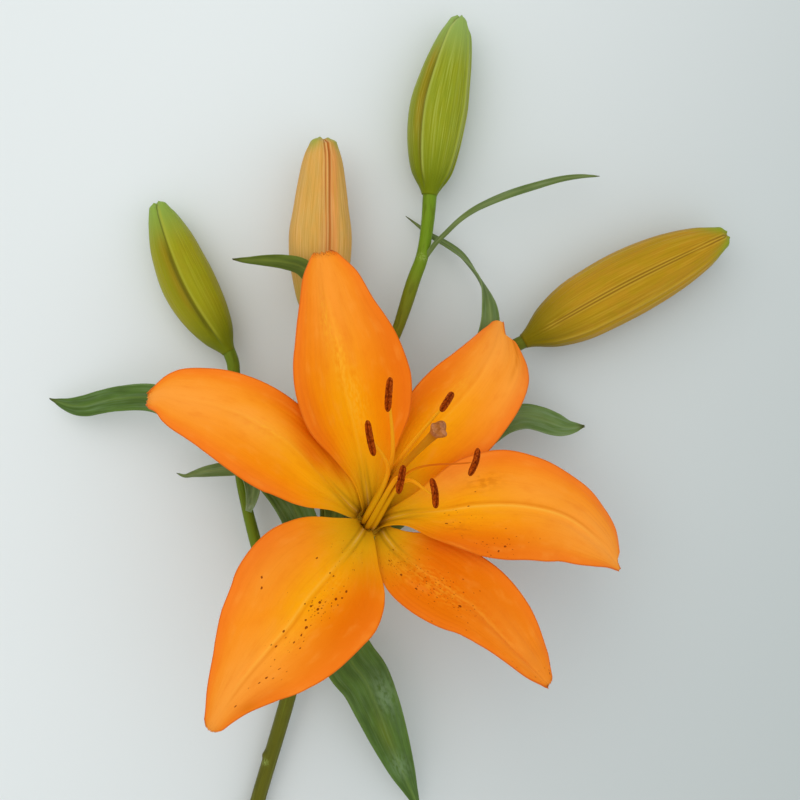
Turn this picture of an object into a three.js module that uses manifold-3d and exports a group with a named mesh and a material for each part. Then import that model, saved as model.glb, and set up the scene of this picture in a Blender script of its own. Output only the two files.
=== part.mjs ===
// An orange lily, cut and laid down: a stem with one open bloom that faces up, four closed buds on
// stalks of their own, five leaves and two bracts.
//
// Units are millimetres and +Z is up. The lily lies on z = 0, with its cut end towards -Y and its
// topmost bud towards +Y. Points are written in the lily's layout, whose own origin is moved under
// the middle of the whole lily at the very end.
import * as THREE from "three";
import { mergeVertices } from "three/addons/utils/BufferGeometryUtils.js";
import Module from "manifold-3d";

const wasm = await Module();
wasm.setup();

// ---- Driving dimensions ----

const LAYOUT_MIDDLE = [-4, -21.31]; // the middle of the whole lily, in the layout
const CLEARANCE = 0.3; // gap between pieces that are joined on the living plant

// Blade thickness along the rib and at the edge, then the rows and columns of the blade's grid.
const PETAL = { rib: 1, edge: 0.65, rows: 20, columns: 8 };
const LEAF = { rib: 1.1, edge: 0.7, rows: 20, columns: 4 };

// The bloom's axis leans from straight up towards the buds. Filaments and style set out along it,
// bend over further as one bundle, and part again at the bundle's end.
const BLOOM = {
  centre: [-10.5, -41, 26], // middle of the receptacle's top
  lean: 17,
  heading: 58, // the way it leans, in degrees round from +X
  straight: 8, // how far they set out along the axis
  ring: 2.15, // radius of the ring of filaments round the style, as far as that
  parting: [-0.4, -22.6, 50], // middle of the bundle's end
  spread: 1.6, // how many times wider the ring is there
};

const FILAMENT_RADII = [0.52, 0.55, 0.58, 0.56, 0.5, 0.42];
const ANTHER = { length: 11, halfWidth: 1.1, halfDepth: 0.95, groove: 0.3, bow: 0.7 };

const STEM = {
  spine: [
    [-60, -175.5, 2.45], [-48.8, -136.7, 4.2], [-39.5, -105.4, 6.5],
    [-32.5, -78, 8.8], [-27.5, -60.5, 11], [-24.5, -50, 12.5],
  ],
  radii: [2.65, 2.65, 2.65, 2.7, 2.8, 3.0],
};

// The stalks that leave the stem: one to each bud, and a short stout one to the bloom.
const STALKS = [
  {
    spine: [[-38.8, -101, 7], [-44.5, -69.5, 9], [-50.2, -48.5, 9.7], [-53.1, -37, 9.8], [-55.2, -27, 9.7],
      [-56.8, -10.4, 9.4], [-57.6, 10, 9.2], [-58, 13.3, 9.3], [-59.1, 16.3, 9.3]],
    radii: [1.5, 1.5, 1.6, 2.1, 1.9, 1.8, 2, 2.3],
  },
  {
    spine: [[-28, -62, 11], [-24.5, -50, 12.5], [-19, -24, 12], [-10, 3, 11.3], [-1, 24, 10.6], [4.9, 42, 10.2],
      [7.6, 49.4, 10.1], [9.4, 60, 10], [10.4, 71.9, 10]],
    radii: [2.3, 2, 1.8, 1.6, 1.6, 1.9, 2.4, 2.2, 2.5],
  },
  {
    spine: [[-28, -62, 11], [-26, -50, 12.5], [-26.6, -17, 12.8], [-27.7, 7, 13.6], [-27.8, 24.3, 14]],
    radii: [2.2, 1.8, 1.6, 1.7, 2.3],
  },
  {
    spine: [[-28, -62, 11], [-19, -48, 12.3], [0, -27.6, 12], [20.7, -1.7, 11.3], [31.2, 10.6, 11],
      [38.8, 18.1, 11], [42.3, 20, 11]],
    radii: [2.2, 1.8, 1.7, 1.7, 2.1, 2.4],
  },
  {
    spine: [[-30, -69, 10], [-25, -59, 12], [-17.6, -49.5, 15], [-12.3, -43.7, 18.5], [-11.1, -41.9, 22.3],
      [-10.5, -41, 26]],
    radii: [2.4, 2.4, 2.5, 2.8, 3.6, 5],
  },
];

// Buds: a spine from the stalk to the tip, the widest radius, and how far the seams are turned.
const BUDS = {
  bud_top: {
    spine: [[10.4, 72.2, 10], [13.3, 99, 9.8], [20.9, 133, 10.4]],
    radius: 10.1, turn: -3, outline: [0.25, 0.7, 0.88, 0.98, 1, 0.9, 0.76, 0.56, 0.27],
  },
  bud_middle: {
    spine: [[-27.8, 24.6, 14], [-27.4, 57, 14.4], [-26.3, 90, 14.6]],
    radius: 10.8, turn: 49, outline: [0.24, 0.66, 0.86, 0.98, 0.99, 0.88, 0.77, 0.63, 0.4],
  },
  bud_left: {
    spine: [[-59.3, 16.6, 9.3], [-73, 40, 9.1], [-84.4, 68.6, 9.6]],
    radius: 9.4, turn: 25, outline: [0.25, 0.62, 0.85, 0.97, 1, 0.93, 0.81, 0.58, 0.3],
  },
  bud_right: {
    spine: [[42.6, 20.2, 11], [77, 39.4, 11.3], [113.2, 57.1, 11.8]],
    radius: 11.7, turn: 29, outline: [0.22, 0.65, 0.9, 0.98, 1, 0.95, 0.83, 0.61, 0.28],
  },
};

// Petals. A spine point is [out from the bloom's axis, aside, up the axis]. right and left are the
// half widths on the two sides of the rib, from claw to tip, and cup is the arc across, in degrees.
// The three inner petals are the broad ones and lie in front of the three outer ones.
const PETALS = {
  petal_inner_top: {
    azimuth: 104,
    spine: [[3.4, 0, 0.5], [4, 0, 6], [7.5, 0.5, 13], [14.8, 0.8, 19], [28.3, 1.5, 26.5],
      [40.5, 2.2, 31], [53.5, 1.5, 33], [65.5, 1.2, 32], [76.5, 0.2, 30], [87.3, -0.8, 27]],
    right: [2.6, 3.4, 7, 12.8, 18.9, 21.3, 20.3, 17.4, 14.3, 10.8, 4],
    left: [2.6, 2.8, 4.6, 9.8, 15.6, 17, 16, 13.2, 9.8, 7.2, 3],
    cup: [48, 42, 42, 34, 20, 12, 14, 18],
    crease: 0.5,
    ripple: [0.6, 1.6, 0.1],
  },
  petal_inner_right: {
    azimuth: -9,
    spine: [[3.4, 0, 0.5], [4, 0, 6], [6.5, 0.8, 13], [11, 2, 18], [20.5, 3.5, 25],
      [29.5, 6, 29], [40.5, 8, 31], [51.5, 8.5, 31], [60.5, 7.5, 29], [68.5, 4.5, 26.5], [75.5, 1, 23], [81.5, -3, 19]],
    right: [2.6, 3, 5.2, 10.4, 16, 17.8, 17, 15.6, 12.7, 7.6, 1.2],
    left: [2.6, 3, 5.6, 11.2, 15.6, 17.6, 16.4, 14.2, 12.2, 9.4, 1.2],
    cup: [48, 40, 32, 20, 10, 0, -8, -6],
    crease: 0.7,
    ripple: [0.6, 1.5, 0.6],
  },
  petal_inner_left: {
    azimuth: 230,
    spine: [[3.4, 0, 0.5], [4, 0, 5.5], [7.5, 0.5, 11], [14, 1, 16], [24.5, 1, 23],
      [36, 1, 28], [46.5, 2, 30], [56, 2, 29.5], [64.5, 2, 27], [73, 2.5, 23], [83.5, 4.5, 16]],
    right: [2.6, 6, 13.2, 19.1, 22.6, 23, 21, 17.2, 11.4, 6.6, 1.6],
    left: [2.6, 4.6, 10.4, 18.6, 22.7, 22.3, 19.7, 16.2, 11.7, 8, 2.4],
    cup: [48, 40, 30, 18, 8, 2, 4, 10],
    crease: 0.5,
    ripple: [0.5, 1.4, 0.3],
  },
  petal_outer_top: {
    azimuth: 55,
    spine: [[4.8, 0, 0.5], [5.6, 0, 6], [10, 1.5, 13], [18.5, 2, 19], [30, 1.2, 25],
      [40.5, -0.5, 28], [52.5, -1.5, 29], [63, -1, 27], [71.5, 0.5, 23], [78.5, 3, 18]],
    right: [2.8, 3.4, 4.4, 6.8, 9.4, 11.7, 13.7, 15.2, 16.4, 17.2, 17.5, 17.4, 17, 16.6, 16.1, 15.4, 14.2, 12.4,
      9.4, 2.6, 1],
    left: [2.8, 3.4, 5, 8.4, 12.2, 14, 13.7, 11.9, 9.5, 6.6, 1.2],
    cup: [38, 30, 22, 16, 8, 0, -10, -16],
    crease: 0.5,
    ripple: [0.6, 1.5, 0.4],
  },
  petal_outer_bottom: {
    azimuth: -43,
    spine: [[4.8, 0, 0.5], [5.6, 0, 5], [8.5, -2, 11], [13.5, -3.4, 15.5], [22, -3.5, 21],
      [32, -3, 25], [42, -1.5, 26], [52.5, -1.5, 25], [63.5, -1.5, 22], [70, -1, 18.5], [78, -0.5, 14]],
    right: [2.8, 4, 8.4, 12.8, 13.8, 12.3, 9.6, 6.8, 4.9, 3.6, 1.2],
    left: [2.8, 4.2, 9.2, 12.4, 14.2, 14.4, 13.9, 12.9, 10.6, 7.3, 1.4],
    cup: [38, 30, 24, 18, 12, 8, 8, 10],
    crease: 0.6,
    ripple: [0.7, 1.7, 0.2],
  },
  petal_outer_left: {
    azimuth: 152,
    spine: [[4.8, 0, 0.5], [5.6, 0, 6], [8.5, 0.6, 12], [13.5, 0.2, 17], [23.5, -1.5, 23.5],
      [31.5, -3.5, 26.5], [39.5, -4.5, 28.5], [49.5, -4.5, 29.5], [59.5, -3.5, 29], [69, -1.5, 26.5],
      [77, 0.5, 23], [81.8, 3.5, 19.5]],
    right: [2.8, 3.4, 7.2, 9.8, 10.8, 11.8, 12.4, 12, 10.8, 8.4, 1.6],
    left: [2.8, 3.2, 6, 12, 16.8, 18.6, 18.2, 16.4, 13.4, 9, 1.8],
    cup: [38, 26, 16, 11, 12, 12, 12, 14],
    crease: 0.5,
    ripple: [0.5, 1.3, 0.7],
  },
};

// Leaves and bracts, whose width is the same on both sides. roll is a turn about the spine, in degrees.
const LEAVES = {
  leaf_lower_right: {
    spine: [[-30.5, -75.5, 9], [-25.5, -77.5, 14], [-20.5, -82, 17], [-16.5, -89, 18], [-12, -95, 18],
      [-8, -104, 17], [-4, -115, 14.5], [0, -126, 11.5], [3.5, -135, 8], [7, -144, 4.4]],
    width: [2.2, 6.2, 8.8, 9.3, 8.6, 7.9, 7, 5.8, 4.3, 2.3, 0.6],
    cup: [40, 24, 16, 12, 12, 14, 20],
    ripple: [0.6, 1.8, 0.2],
  },
  leaf_left: {
    spine: [[-29.2, -70, 9], [-30.6, -59, 13], [-32.3, -48.5, 16], [-34.3, -40, 18], [-38, -33, 19],
      [-44, -25.5, 20], [-54, -16, 20.5], [-68, -7, 19.5], [-83.5, 0.5, 16], [-96.5, 0.5, 12.5],
      [-103.5, -0.5, 10.5], [-109.5, -1.8, 9.2], [-115, -1.6, 8], [-122.2, 0.5, 6.8]],
    width: [2.2, 4.6, 5.8, 6.1, 5.8, 5.2, 5, 4.9, 4.9, 4.5, 3.9, 3.2, 0.6],
    cup: [40, 24, 14, 10, 10, 12, 12],
    ripple: [0.8, 2.2, 0.5],
  },
  leaf_upper_left: {
    spine: [[-24, -50.5, 14], [-22.5, -39, 17.5], [-22, -23.5, 20.5], [-22.5, -6.5, 23.5], [-22.5, 10, 26],
      [-24.5, 26.5, 28], [-27.5, 37, 28.5], [-32.5, 43, 28], [-38.5, 45.5, 27], [-45, 46.5, 25],
      [-52, 47, 23], [-56.5, 47.5, 21.5]],
    width: [2.2, 3.5, 4, 4.2, 4.2, 4.2, 4.2, 3.8, 2.9, 1.9, 0.5],
    cup: [50, 30, 16, 12, 12, 14, 20],
    ripple: [0.5, 1.5, 0.4],
  },
  leaf_upper_right: {
    spine: [[-21, -46, 14], [-8.5, -30.5, 17], [1.5, -19, 18.5], [12, -6, 19.5], [21.5, 7, 20], [28, 17, 19.5],
      [30.5, 25.5, 18], [30.3, 32.5, 16], [28.3, 39.5, 14], [25.2, 45, 12], [21, 50.5, 9], [16, 54.5, 6.5],
      [11, 57.5, 4.8], [6.5, 61, 4], [2, 64.5, 3.8]],
    width: [2.2, 4.2, 4.3, 4.3, 4.3, 4.3, 4.1, 3.7, 3.1, 2.3, 1.9, 1.1, 0.2],
    cup: [40, 24, 14, 10, 10, 12, 20],
    roll: [0, 0, 0, 0, 0, 0, 0, 4, 24, 80, 44, 20, 0],
    ripple: [0.4, 1.5, 0.1],
  },
  leaf_right: {
    spine: [[-24, -56.5, 12], [-11, -47, 16], [0, -38.5, 18.6], [10, -29.5, 20], [20.5, -20.5, 20.5],
      [30, -11, 20.5], [36, -7, 20], [42.5, -5.4, 19], [47.5, -5.6, 17.5], [52.5, -6.8, 16],
      [57.5, -8.6, 14], [63.5, -9, 12.5]],
    width: [2.2, 4, 4.4, 4.3, 4.3, 4.4, 4.4, 4.5, 4.4, 3.2, 0.6],
    cup: [40, 24, 14, 12, 12, 14, 20],
    ripple: [0.9, 1.8, 0.3],
  },
  bract_left: {
    spine: [[-52.2, -38.2, 11.4], [-50.9, -34.4, 14.3], [-50.2, -30, 16.8], [-51.2, -25.6, 18.4], [-54.5, -23.2, 18.6],
      [-58.5, -23.4, 17.6], [-64, -24, 16], [-70.5, -24.6, 14], [-77, -25.5, 11.2]],
    width: [1.2, 1.9, 2.5, 2.8, 2.6, 2.2, 1.7, 1.1, 0.4],
    cup: [50, 40, 30, 20, 14, 12, 12],
  },
  bract_top: {
    spine: [[9, 49.6, 10.8], [12.2, 53.8, 13.2], [15.5, 56.8, 14.8], [20.5, 60.5, 16.5], [25, 63.5, 17],
      [30.5, 66, 17.5], [37.5, 69.5, 17.5], [46, 72.5, 16.5], [55, 75.5, 14.5], [62, 77, 12.5], [69, 77.5, 10.5]],
    width: [0.9, 0.8, 0.8, 1, 1.3, 1.35, 1.15, 0.8, 0.2],
    cup: [40, 30, 24, 20, 20, 20, 20],
  },
};

// Stamens: the filament's place in its ring, in degrees, and the anther's middle. The anther points
// along a heading in plan, and that end of it droops.
const STAMENS = [
  { place: 88, middle: [14.4, -0.1, 70], heading: 56, droop: 52 },
  { place: 135, middle: [-3.4, 1.9, 72], heading: 86, droop: 19 },
  { place: 185, middle: [-9, -11.4, 72], heading: 101, droop: 6 },
  { place: 245, middle: [0.4, -23.2, 75], heading: 79, droop: 42 },
  { place: 295, middle: [10.4, -27.4, 74], heading: 97, droop: 40 },
  { place: 0, middle: [22.8, -18.5, 70], heading: 69, droop: 40 },
];

const STYLE_TIP = [12.6, -7.9, 70.4];
// Half thickness of the pistil at shares of its length: ovary, style, then the stigma's head.
const PISTIL = [
  [0, 0.85], [0.06, 0.88], [0.2, 0.8], [0.27, 0.74], [0.4, 0.74], [0.6, 0.9], [0.75, 1.12],
  [0.88, 1.4], [0.93, 1.6], [0.955, 2.4], [0.975, 2.95], [0.99, 2.8], [1, 2.1],
];

const COLOURS = {
  stem: { color: 0x6b7f24, roughness: 0.5 },
  leaf: { color: 0x44702f, roughness: 0.5 },
  petal: { color: 0xf5871a, roughness: 0.55 },
  green_bud: { color: 0x95ad3c, roughness: 0.5 },
  golden_bud: { color: 0xb8942e, roughness: 0.5 },
  peach_bud: { color: 0xd9a35a, roughness: 0.5 },
  filament: { color: 0xd9a51c, roughness: 0.5 },
  anther: { color: 0x8c3a12, roughness: 0.85 },
  pistil: { color: 0xc19a2a, roughness: 0.45 },
};

// ---- Small tools ----

const UP = new THREE.Vector3(0, 0, 1);
const radians = THREE.MathUtils.degToRad;
const vec = (p) => new THREE.Vector3(...p);
const smoothPath = (points) => new THREE.CatmullRomCurve3(points.map(vec), false, "centripetal");
const evenly = (steps) => Array.from({ length: steps + 1 }, (_, i) => i / steps);

// The smooth value at share t along a list of evenly spaced values.
function along(values, t) {
  const x = THREE.MathUtils.clamp(t, 0, 1) * (values.length - 1);
  const i = Math.min(Math.floor(x), values.length - 2);
  const at = (k) => values[THREE.MathUtils.clamp(k, 0, values.length - 1)];
  const [a, b, c, d] = [at(i - 1), at(i), at(i + 1), at(i + 2)];
  const f = x - i;
  return b + 0.5 * f * (c - a + f * (2 * a - 5 * b + 4 * c - d + f * (3 * (b - c) + d - a)));
}

// A geometry from points and the triangles between them.
function geometryOf(points, faces) {
  const geometry = new THREE.BufferGeometry().setFromPoints(points);
  geometry.setIndex(faces);
  return geometry;
}

// ---- Round pieces ----

// Skins a list of rings, each with as many points, and closes both ends on their middles.
function loft(rings) {
  const sides = rings[0].length;
  const points = rings.flat();
  const faces = [];
  const next = (j) => (j + 1) % sides;
  for (let i = 0; i < rings.length - 1; i++) {
    for (let j = 0; j < sides; j++) {
      const [a, b] = [i * sides + j, i * sides + next(j)];
      faces.push(a, b, b + sides, a, b + sides, a + sides);
    }
  }
  const closeEnd = (ring, first, forwards) => {
    const middle = points.length;
    points.push(ring.reduce((sum, p) => sum.add(p), new THREE.Vector3()).divideScalar(sides));
    for (let j = 0; j < sides; j++) {
      const [a, b] = [first + j, first + next(j)];
      faces.push(middle, ...(forwards ? [a, b] : [b, a]));
    }
  };
  closeEnd(rings[0], 0, false);
  closeEnd(rings.at(-1), (rings.length - 1) * sides, true);
  return geometryOf(points, faces);
}

// Rings round a path at shares of its length. shape(t, angle) gives how far the skin stands out there,
// and how far it is pushed along the path. Angles start level and to the left, and turn upwards.
function ringsAlong(curve, shares, sides, shape, reference = UP) {
  return shares.map((t) => {
    const centre = curve.getPointAt(t);
    const tangent = curve.getTangentAt(t);
    const level = new THREE.Vector3().crossVectors(reference, tangent).normalize();
    const upwards = new THREE.Vector3().crossVectors(tangent, level);
    return Array.from({ length: sides }, (_, j) => {
      const angle = (2 * Math.PI * j) / sides;
      const [out, push = 0] = shape(t, angle);
      return centre
        .clone()
        .addScaledVector(level, out * Math.cos(angle))
        .addScaledVector(upwards, out * Math.sin(angle))
        .addScaledVector(tangent, push);
    });
  });
}

// A round stalk whose radius changes along its length. grow thickens it, and lengthens it at both ends.
function stalkGeometry({ spine, radii }, { steps = 12, sides = 8, grow = 0 } = {}) {
  const ends = new Map([[0, -grow], [1, grow]]);
  const shape = (t) => [along(radii, t) + grow, ends.get(t) ?? 0];
  return loft(ringsAlong(smoothPath(spine), evenly(steps), sides, shape));
}

// ---- Solids ----

function solidOf(geometry) {
  const bare = geometry.clone();
  bare.deleteAttribute("normal");
  bare.deleteAttribute("uv");
  const merged = mergeVertices(bare, 1e-3);
  return new wasm.Manifold(
    new wasm.Mesh({
      numProp: 3,
      vertProperties: merged.attributes.position.array,
      triVerts: new Uint32Array(merged.index.array),
    }),
  );
}

function geometryOfSolid(solid) {
  const { numProp, numVert, vertProperties, triVerts } = solid.getMesh();
  const point = (_, i) => new THREE.Vector3().fromArray(vertProperties, i * numProp);
  return geometryOf(Array.from({ length: numVert }, point), Array.from(triVerts));
}

// What is left of a piece outside the tools. A sliver on a tool's far side goes with it.
function cut(geometry, ...tools) {
  const pieces = tools.reduce((solid, tool) => solid.subtract(tool), solidOf(geometry)).decompose();
  return geometryOfSolid(pieces.reduce((a, b) => (b.volume() > a.volume() ? b : a)));
}

// ---- Blades: petals and leaves ----

// A point in the middle of a blade's thickness, at share t along it and share q across it, -1 to 1.
function bladePoint(spec, spine, side, t, q) {
  const share = THREE.MathUtils.clamp(t, 0, 1);
  const tangent = spine.getTangentAt(share);
  const roll = radians(along(spec.roll ?? [0, 0], share));
  const across = side(tangent).applyAxisAngle(tangent, roll);
  const up = new THREE.Vector3().crossVectors(tangent, across);
  const half = along(spec.width ?? (q < 0 ? spec.right : spec.left), share);
  const arc = radians(along(spec.cup, share)) || 1e-4;
  const [size, turns, start] = spec.ripple ?? [0, 0, 0];
  const otherEdge = q < 0 ? 0.31 : 0;
  const wave = size * Math.min(1, 3 * share) * Math.sin(2 * Math.PI * (turns * share + start + otherEdge));
  const groove = (spec.crease ?? 0) * Math.exp(-((q / 0.16) ** 2)) * Math.min(1, 4 * share, 6 * (1 - share));
  return spine
    .getPointAt(share)
    .addScaledVector(across, (half * Math.sin(q * arc)) / arc)
    .addScaledVector(up, (half * (1 - Math.cos(q * arc))) / arc + wave * Math.abs(q) ** 3 - groove);
}

// The closed blade: a front and a back grid with the same diagonals, and a rim round them.
function bladeGeometry(spec, side, { rib, edge, rows, columns }) {
  const spine = smoothPath(spec.spine);
  const point = (t, q) => bladePoint(spec, spine, side, t, q);
  const step = 1e-3;
  const front = [];
  const back = [];
  for (let i = 0; i <= rows; i++) {
    for (let j = 0; j <= columns; j++) {
      const [t, q] = [i / rows, (2 * j) / columns - 1];
      const lengthwise = point(t + step, q).sub(point(t - step, q));
      const crosswise = point(t, q + step).sub(point(t, q - step));
      const normal = lengthwise.cross(crosswise).normalize();
      const half = THREE.MathUtils.lerp(rib, edge, Math.abs(q)) / 2;
      front.push(point(t, q).addScaledVector(normal, half));
      back.push(point(t, q).addScaledVector(normal, -half));
    }
  }
  const under = front.length;
  const at = (i, j) => i * (columns + 1) + j;
  const faces = [];
  for (let i = 0; i < rows; i++) {
    for (let j = 0; j < columns; j++) {
      const [a, b, c, d] = [at(i, j), at(i, j + 1), at(i + 1, j + 1), at(i + 1, j)];
      faces.push(a, c, b, a, d, c);
      faces.push(a + under, b + under, c + under, a + under, c + under, d + under);
    }
  }
  const rim = [
    ...Array.from({ length: columns }, (_, j) => at(0, j)),
    ...Array.from({ length: rows }, (_, i) => at(i, columns)),
    ...Array.from({ length: columns }, (_, j) => at(rows, columns - j)),
    ...Array.from({ length: rows }, (_, i) => at(rows - i, 0)),
  ];
  rim.forEach((a, k) => {
    const b = rim[(k + 1) % rim.length];
    faces.push(a, b, b + under, a, b + under, a + under);
  });
  return geometryOf([...front, ...back], faces);
}

// Across a leaf is level, before its roll.
const acrossLeaf = (tangent) => new THREE.Vector3().crossVectors(UP, tangent).normalize();

// ---- The bloom's own frame ----

const bloomCentre = vec(BLOOM.centre);
const bloomAxis = UP.clone()
  .applyAxisAngle(new THREE.Vector3(0, 1, 0), radians(BLOOM.lean))
  .applyAxisAngle(UP, radians(BLOOM.heading));
const bloomEast = new THREE.Vector3(1, 0, 0).addScaledVector(bloomAxis, -bloomAxis.x).normalize();

// A direction square to the bloom's axis.
const roundBloom = (azimuth) => bloomEast.clone().applyAxisAngle(bloomAxis, radians(azimuth));

// A point of the bloom: out from its axis along an azimuth, to the left of that, and up the axis.
const bloomPoint = (azimuth, out, aside, height) =>
  bloomCentre
    .clone()
    .addScaledVector(roundBloom(azimuth), out)
    .addScaledVector(roundBloom(azimuth + 90), aside)
    .addScaledVector(bloomAxis, height);

function petalGeometry({ azimuth, ...shape }) {
  const sideways = roundBloom(azimuth + 90);
  const across = (tangent) =>
    sideways.clone().addScaledVector(tangent, -sideways.dot(tangent)).normalize();
  const spine = shape.spine.map((p) => bloomPoint(azimuth, ...p).toArray());
  return bladeGeometry({ ...shape, spine }, across, PETAL);
}

// The path of a filament or the style: its place in the bundle, from the receptacle, then its end.
function bundlePath(place, radius, end) {
  const parting = vec(BLOOM.parting).addScaledVector(roundBloom(place), BLOOM.spread * radius);
  const rise = [2 * CLEARANCE, BLOOM.straight].map((height) => bloomPoint(place, radius, 0, height));
  return smoothPath([...rise, parting, end].map((point) => point.toArray()));
}

// ---- Buds, stamens and pistil ----

const BUD_SIDES = 18; // a multiple of 6, so that each seam has a line of points of its own

// Three petals closed edge to edge: a seam between each two, and their tips stand apart at the end.
function budGeometry({ spine, radius, turn, outline }) {
  const shape = (t, angle) => {
    const lobe = Math.cos(3 * angle);
    const seam = Math.exp(-(((1 + lobe) / 0.3) ** 2));
    const tip = THREE.MathUtils.smoothstep(t, 0.9, 1);
    const belly = Math.sqrt(Math.sin(Math.PI * Math.min(t, 0.97)));
    const out = radius * along(outline, t) * (1 + 0.015 * lobe - seam * (0.07 * belly + 0.2 * tip));
    return [out, tip * (0.6 * lobe - 0.6)];
  };
  const curve = smoothPath(spine);
  const reference = UP.clone().applyAxisAngle(curve.getTangentAt(0), radians(turn));
  const shares = [0, 0.03, 0.08, 0.15, 0.24, 0.34, 0.45, 0.56, 0.67, 0.77, 0.86, 0.93, 0.97, 1];
  return loft(ringsAlong(curve, shares, BUD_SIDES, shape, reference));
}

// An anther's axis, and the way its face looks: on along its filament, but square to that axis.
function antherFrame({ middle, heading, droop }) {
  const [h, d] = [radians(heading), radians(droop)];
  const axis = vec([Math.cos(h) * Math.cos(d), Math.sin(h) * Math.cos(d), -Math.sin(d)]);
  const onwards = vec(middle).sub(vec(BLOOM.parting));
  const facing = onwards.addScaledVector(axis, -onwards.dot(axis)).normalize();
  return { middle: vec(middle), axis, facing };
}

function antherGeometry(spec) {
  const { middle, axis, facing } = antherFrame(spec);
  const point = (share, bow) =>
    middle.clone().addScaledVector(axis, share * ANTHER.length).addScaledVector(facing, -bow).toArray();
  const curve = smoothPath([point(-0.5, ANTHER.bow), point(0, 0), point(0.5, ANTHER.bow)]);
  const outline = [0.35, 0.82, 0.96, 1, 1, 0.98, 0.92, 0.76, 0.3];
  const shape = (t, angle) => {
    const [x, y] = [Math.cos(angle) / ANTHER.halfWidth, Math.sin(angle) / ANTHER.halfDepth];
    const groove = ANTHER.groove * Math.exp(-(((angle - Math.PI / 2) / 0.4) ** 2));
    return [along(outline, t) * (1 / Math.hypot(x, y) - groove)];
  };
  return loft(ringsAlong(curve, evenly(7), 8, shape, facing));
}

// A filament ends on the middle of its anther's back.
function filamentGeometry(spec) {
  const { middle, facing } = antherFrame(spec);
  const end = middle.addScaledVector(facing, -ANTHER.halfDepth - 1.5 * CLEARANCE);
  const shape = (t) => [along(FILAMENT_RADII, t)];
  return loft(ringsAlong(bundlePath(spec.place, BLOOM.ring, end), evenly(11), 6, shape, bloomEast));
}

function pistilGeometry() {
  const curve = bundlePath(0, 0, vec(STYLE_TIP));
  const thickness = new Map(PISTIL);
  const shape = (t, angle) => {
    const head = THREE.MathUtils.smoothstep(t, 0.93, 0.97);
    const lobe = Math.sin(3 * angle);
    return [thickness.get(t) * (1 + (0.04 + 0.16 * head) * lobe), 0.5 * head * lobe];
  };
  return loft(ringsAlong(curve, PISTIL.map(([t]) => t), 12, shape, bloomEast));
}

// ---- The lily ----

const lily = new THREE.Group();

function place(name, geometry, finish) {
  const mesh = new THREE.Mesh(geometry, new THREE.MeshStandardMaterial({ ...COLOURS[finish], metalness: 0 }));
  mesh.name = name;
  lily.add(mesh);
}

const DEPTH = 50;
const belowSurface = solidOf(new THREE.BoxGeometry(1000, 1000, DEPTH).translate(0, 0, -DEPTH / 2));

// The stem and all its stalks, as one solid.
function stemSolid(grow) {
  const stem = solidOf(stalkGeometry(STEM, { steps: 12, sides: 12, grow }));
  return STALKS.reduce((solid, spec) => solid.add(solidOf(stalkGeometry(spec, { grow }))), stem);
}

place("stem", geometryOfSolid(stemSolid(0).subtract(belowSurface)), "stem");

const roomForStem = stemSolid(CLEARANCE);
for (const [name, spec] of Object.entries(LEAVES)) {
  place(name, cut(bladeGeometry(spec, acrossLeaf, LEAF), roomForStem), "leaf");
}
const BUD_COLOURS = { bud_middle: "peach_bud", bud_right: "golden_bud" };
for (const [name, spec] of Object.entries(BUDS)) {
  place(name, cut(budGeometry(spec), roomForStem, belowSurface), BUD_COLOURS[name] ?? "green_bud");
}
for (const [name, spec] of Object.entries(PETALS)) place(name, petalGeometry(spec), "petal");
STAMENS.forEach((spec, i) => {
  place(`filament_${i + 1}`, filamentGeometry(spec), "filament");
  place(`anther_${i + 1}`, antherGeometry(spec), "anther");
});
place("pistil", pistilGeometry(), "pistil");

lily.position.set(-LAYOUT_MIDDLE[0], -LAYOUT_MIDDLE[1], 0);
export default lily;
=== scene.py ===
"""Gives a cut orange lily its living surfaces.

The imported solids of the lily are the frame. Each of them gives way to a finer piece of the same form:
petals and leaves with ribs, veins and rounded edges, buds with seams and lengthwise ribs, a stem whose
stalks flow out of it, grained anthers, and a lobed stigma. Every finish is made of shader nodes, which
read the numbers that each piece's mesh holds at its points.

Sizes are millimetres of the lily's layout, as its makers wrote them, until a mesh is made.
"""

import logging
import math
from abc import ABC, abstractmethod
from collections.abc import Sequence
from dataclasses import dataclass
from enum import Enum
from typing import ClassVar

import bpy
import numpy as np
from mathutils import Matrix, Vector
from mathutils.kdtree import KDTree


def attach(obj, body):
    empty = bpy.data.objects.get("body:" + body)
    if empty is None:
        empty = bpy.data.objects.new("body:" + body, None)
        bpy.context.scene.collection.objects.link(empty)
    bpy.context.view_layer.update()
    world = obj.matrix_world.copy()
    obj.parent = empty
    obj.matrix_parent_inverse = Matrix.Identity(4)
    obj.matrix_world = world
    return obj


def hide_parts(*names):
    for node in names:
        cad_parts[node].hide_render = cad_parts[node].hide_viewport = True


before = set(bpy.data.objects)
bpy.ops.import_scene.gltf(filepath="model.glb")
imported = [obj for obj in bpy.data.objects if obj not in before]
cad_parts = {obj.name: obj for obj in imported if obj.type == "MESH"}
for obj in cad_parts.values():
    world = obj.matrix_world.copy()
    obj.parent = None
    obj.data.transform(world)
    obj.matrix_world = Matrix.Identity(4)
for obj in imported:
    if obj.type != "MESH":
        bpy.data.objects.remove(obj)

log = logging.getLogger("lily")

Array = np.ndarray
Point = tuple[float, float, float]
Colour = tuple[float, float, float]
Faces = list[tuple[int, ...]]
Socket = bpy.types.NodeSocket
Value = Socket | float | str
Look = tuple[Socket, Value, Value]  # a surface's colour, roughness and relief

MM = 0.001
LAYOUT_ORIGIN = np.array([4.0, 21.31, 0.0])  # where the layout's own origin is, in the part
UP = np.array([0.0, 0.0, 1.0])


# ---- Numbers along a piece ----


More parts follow.
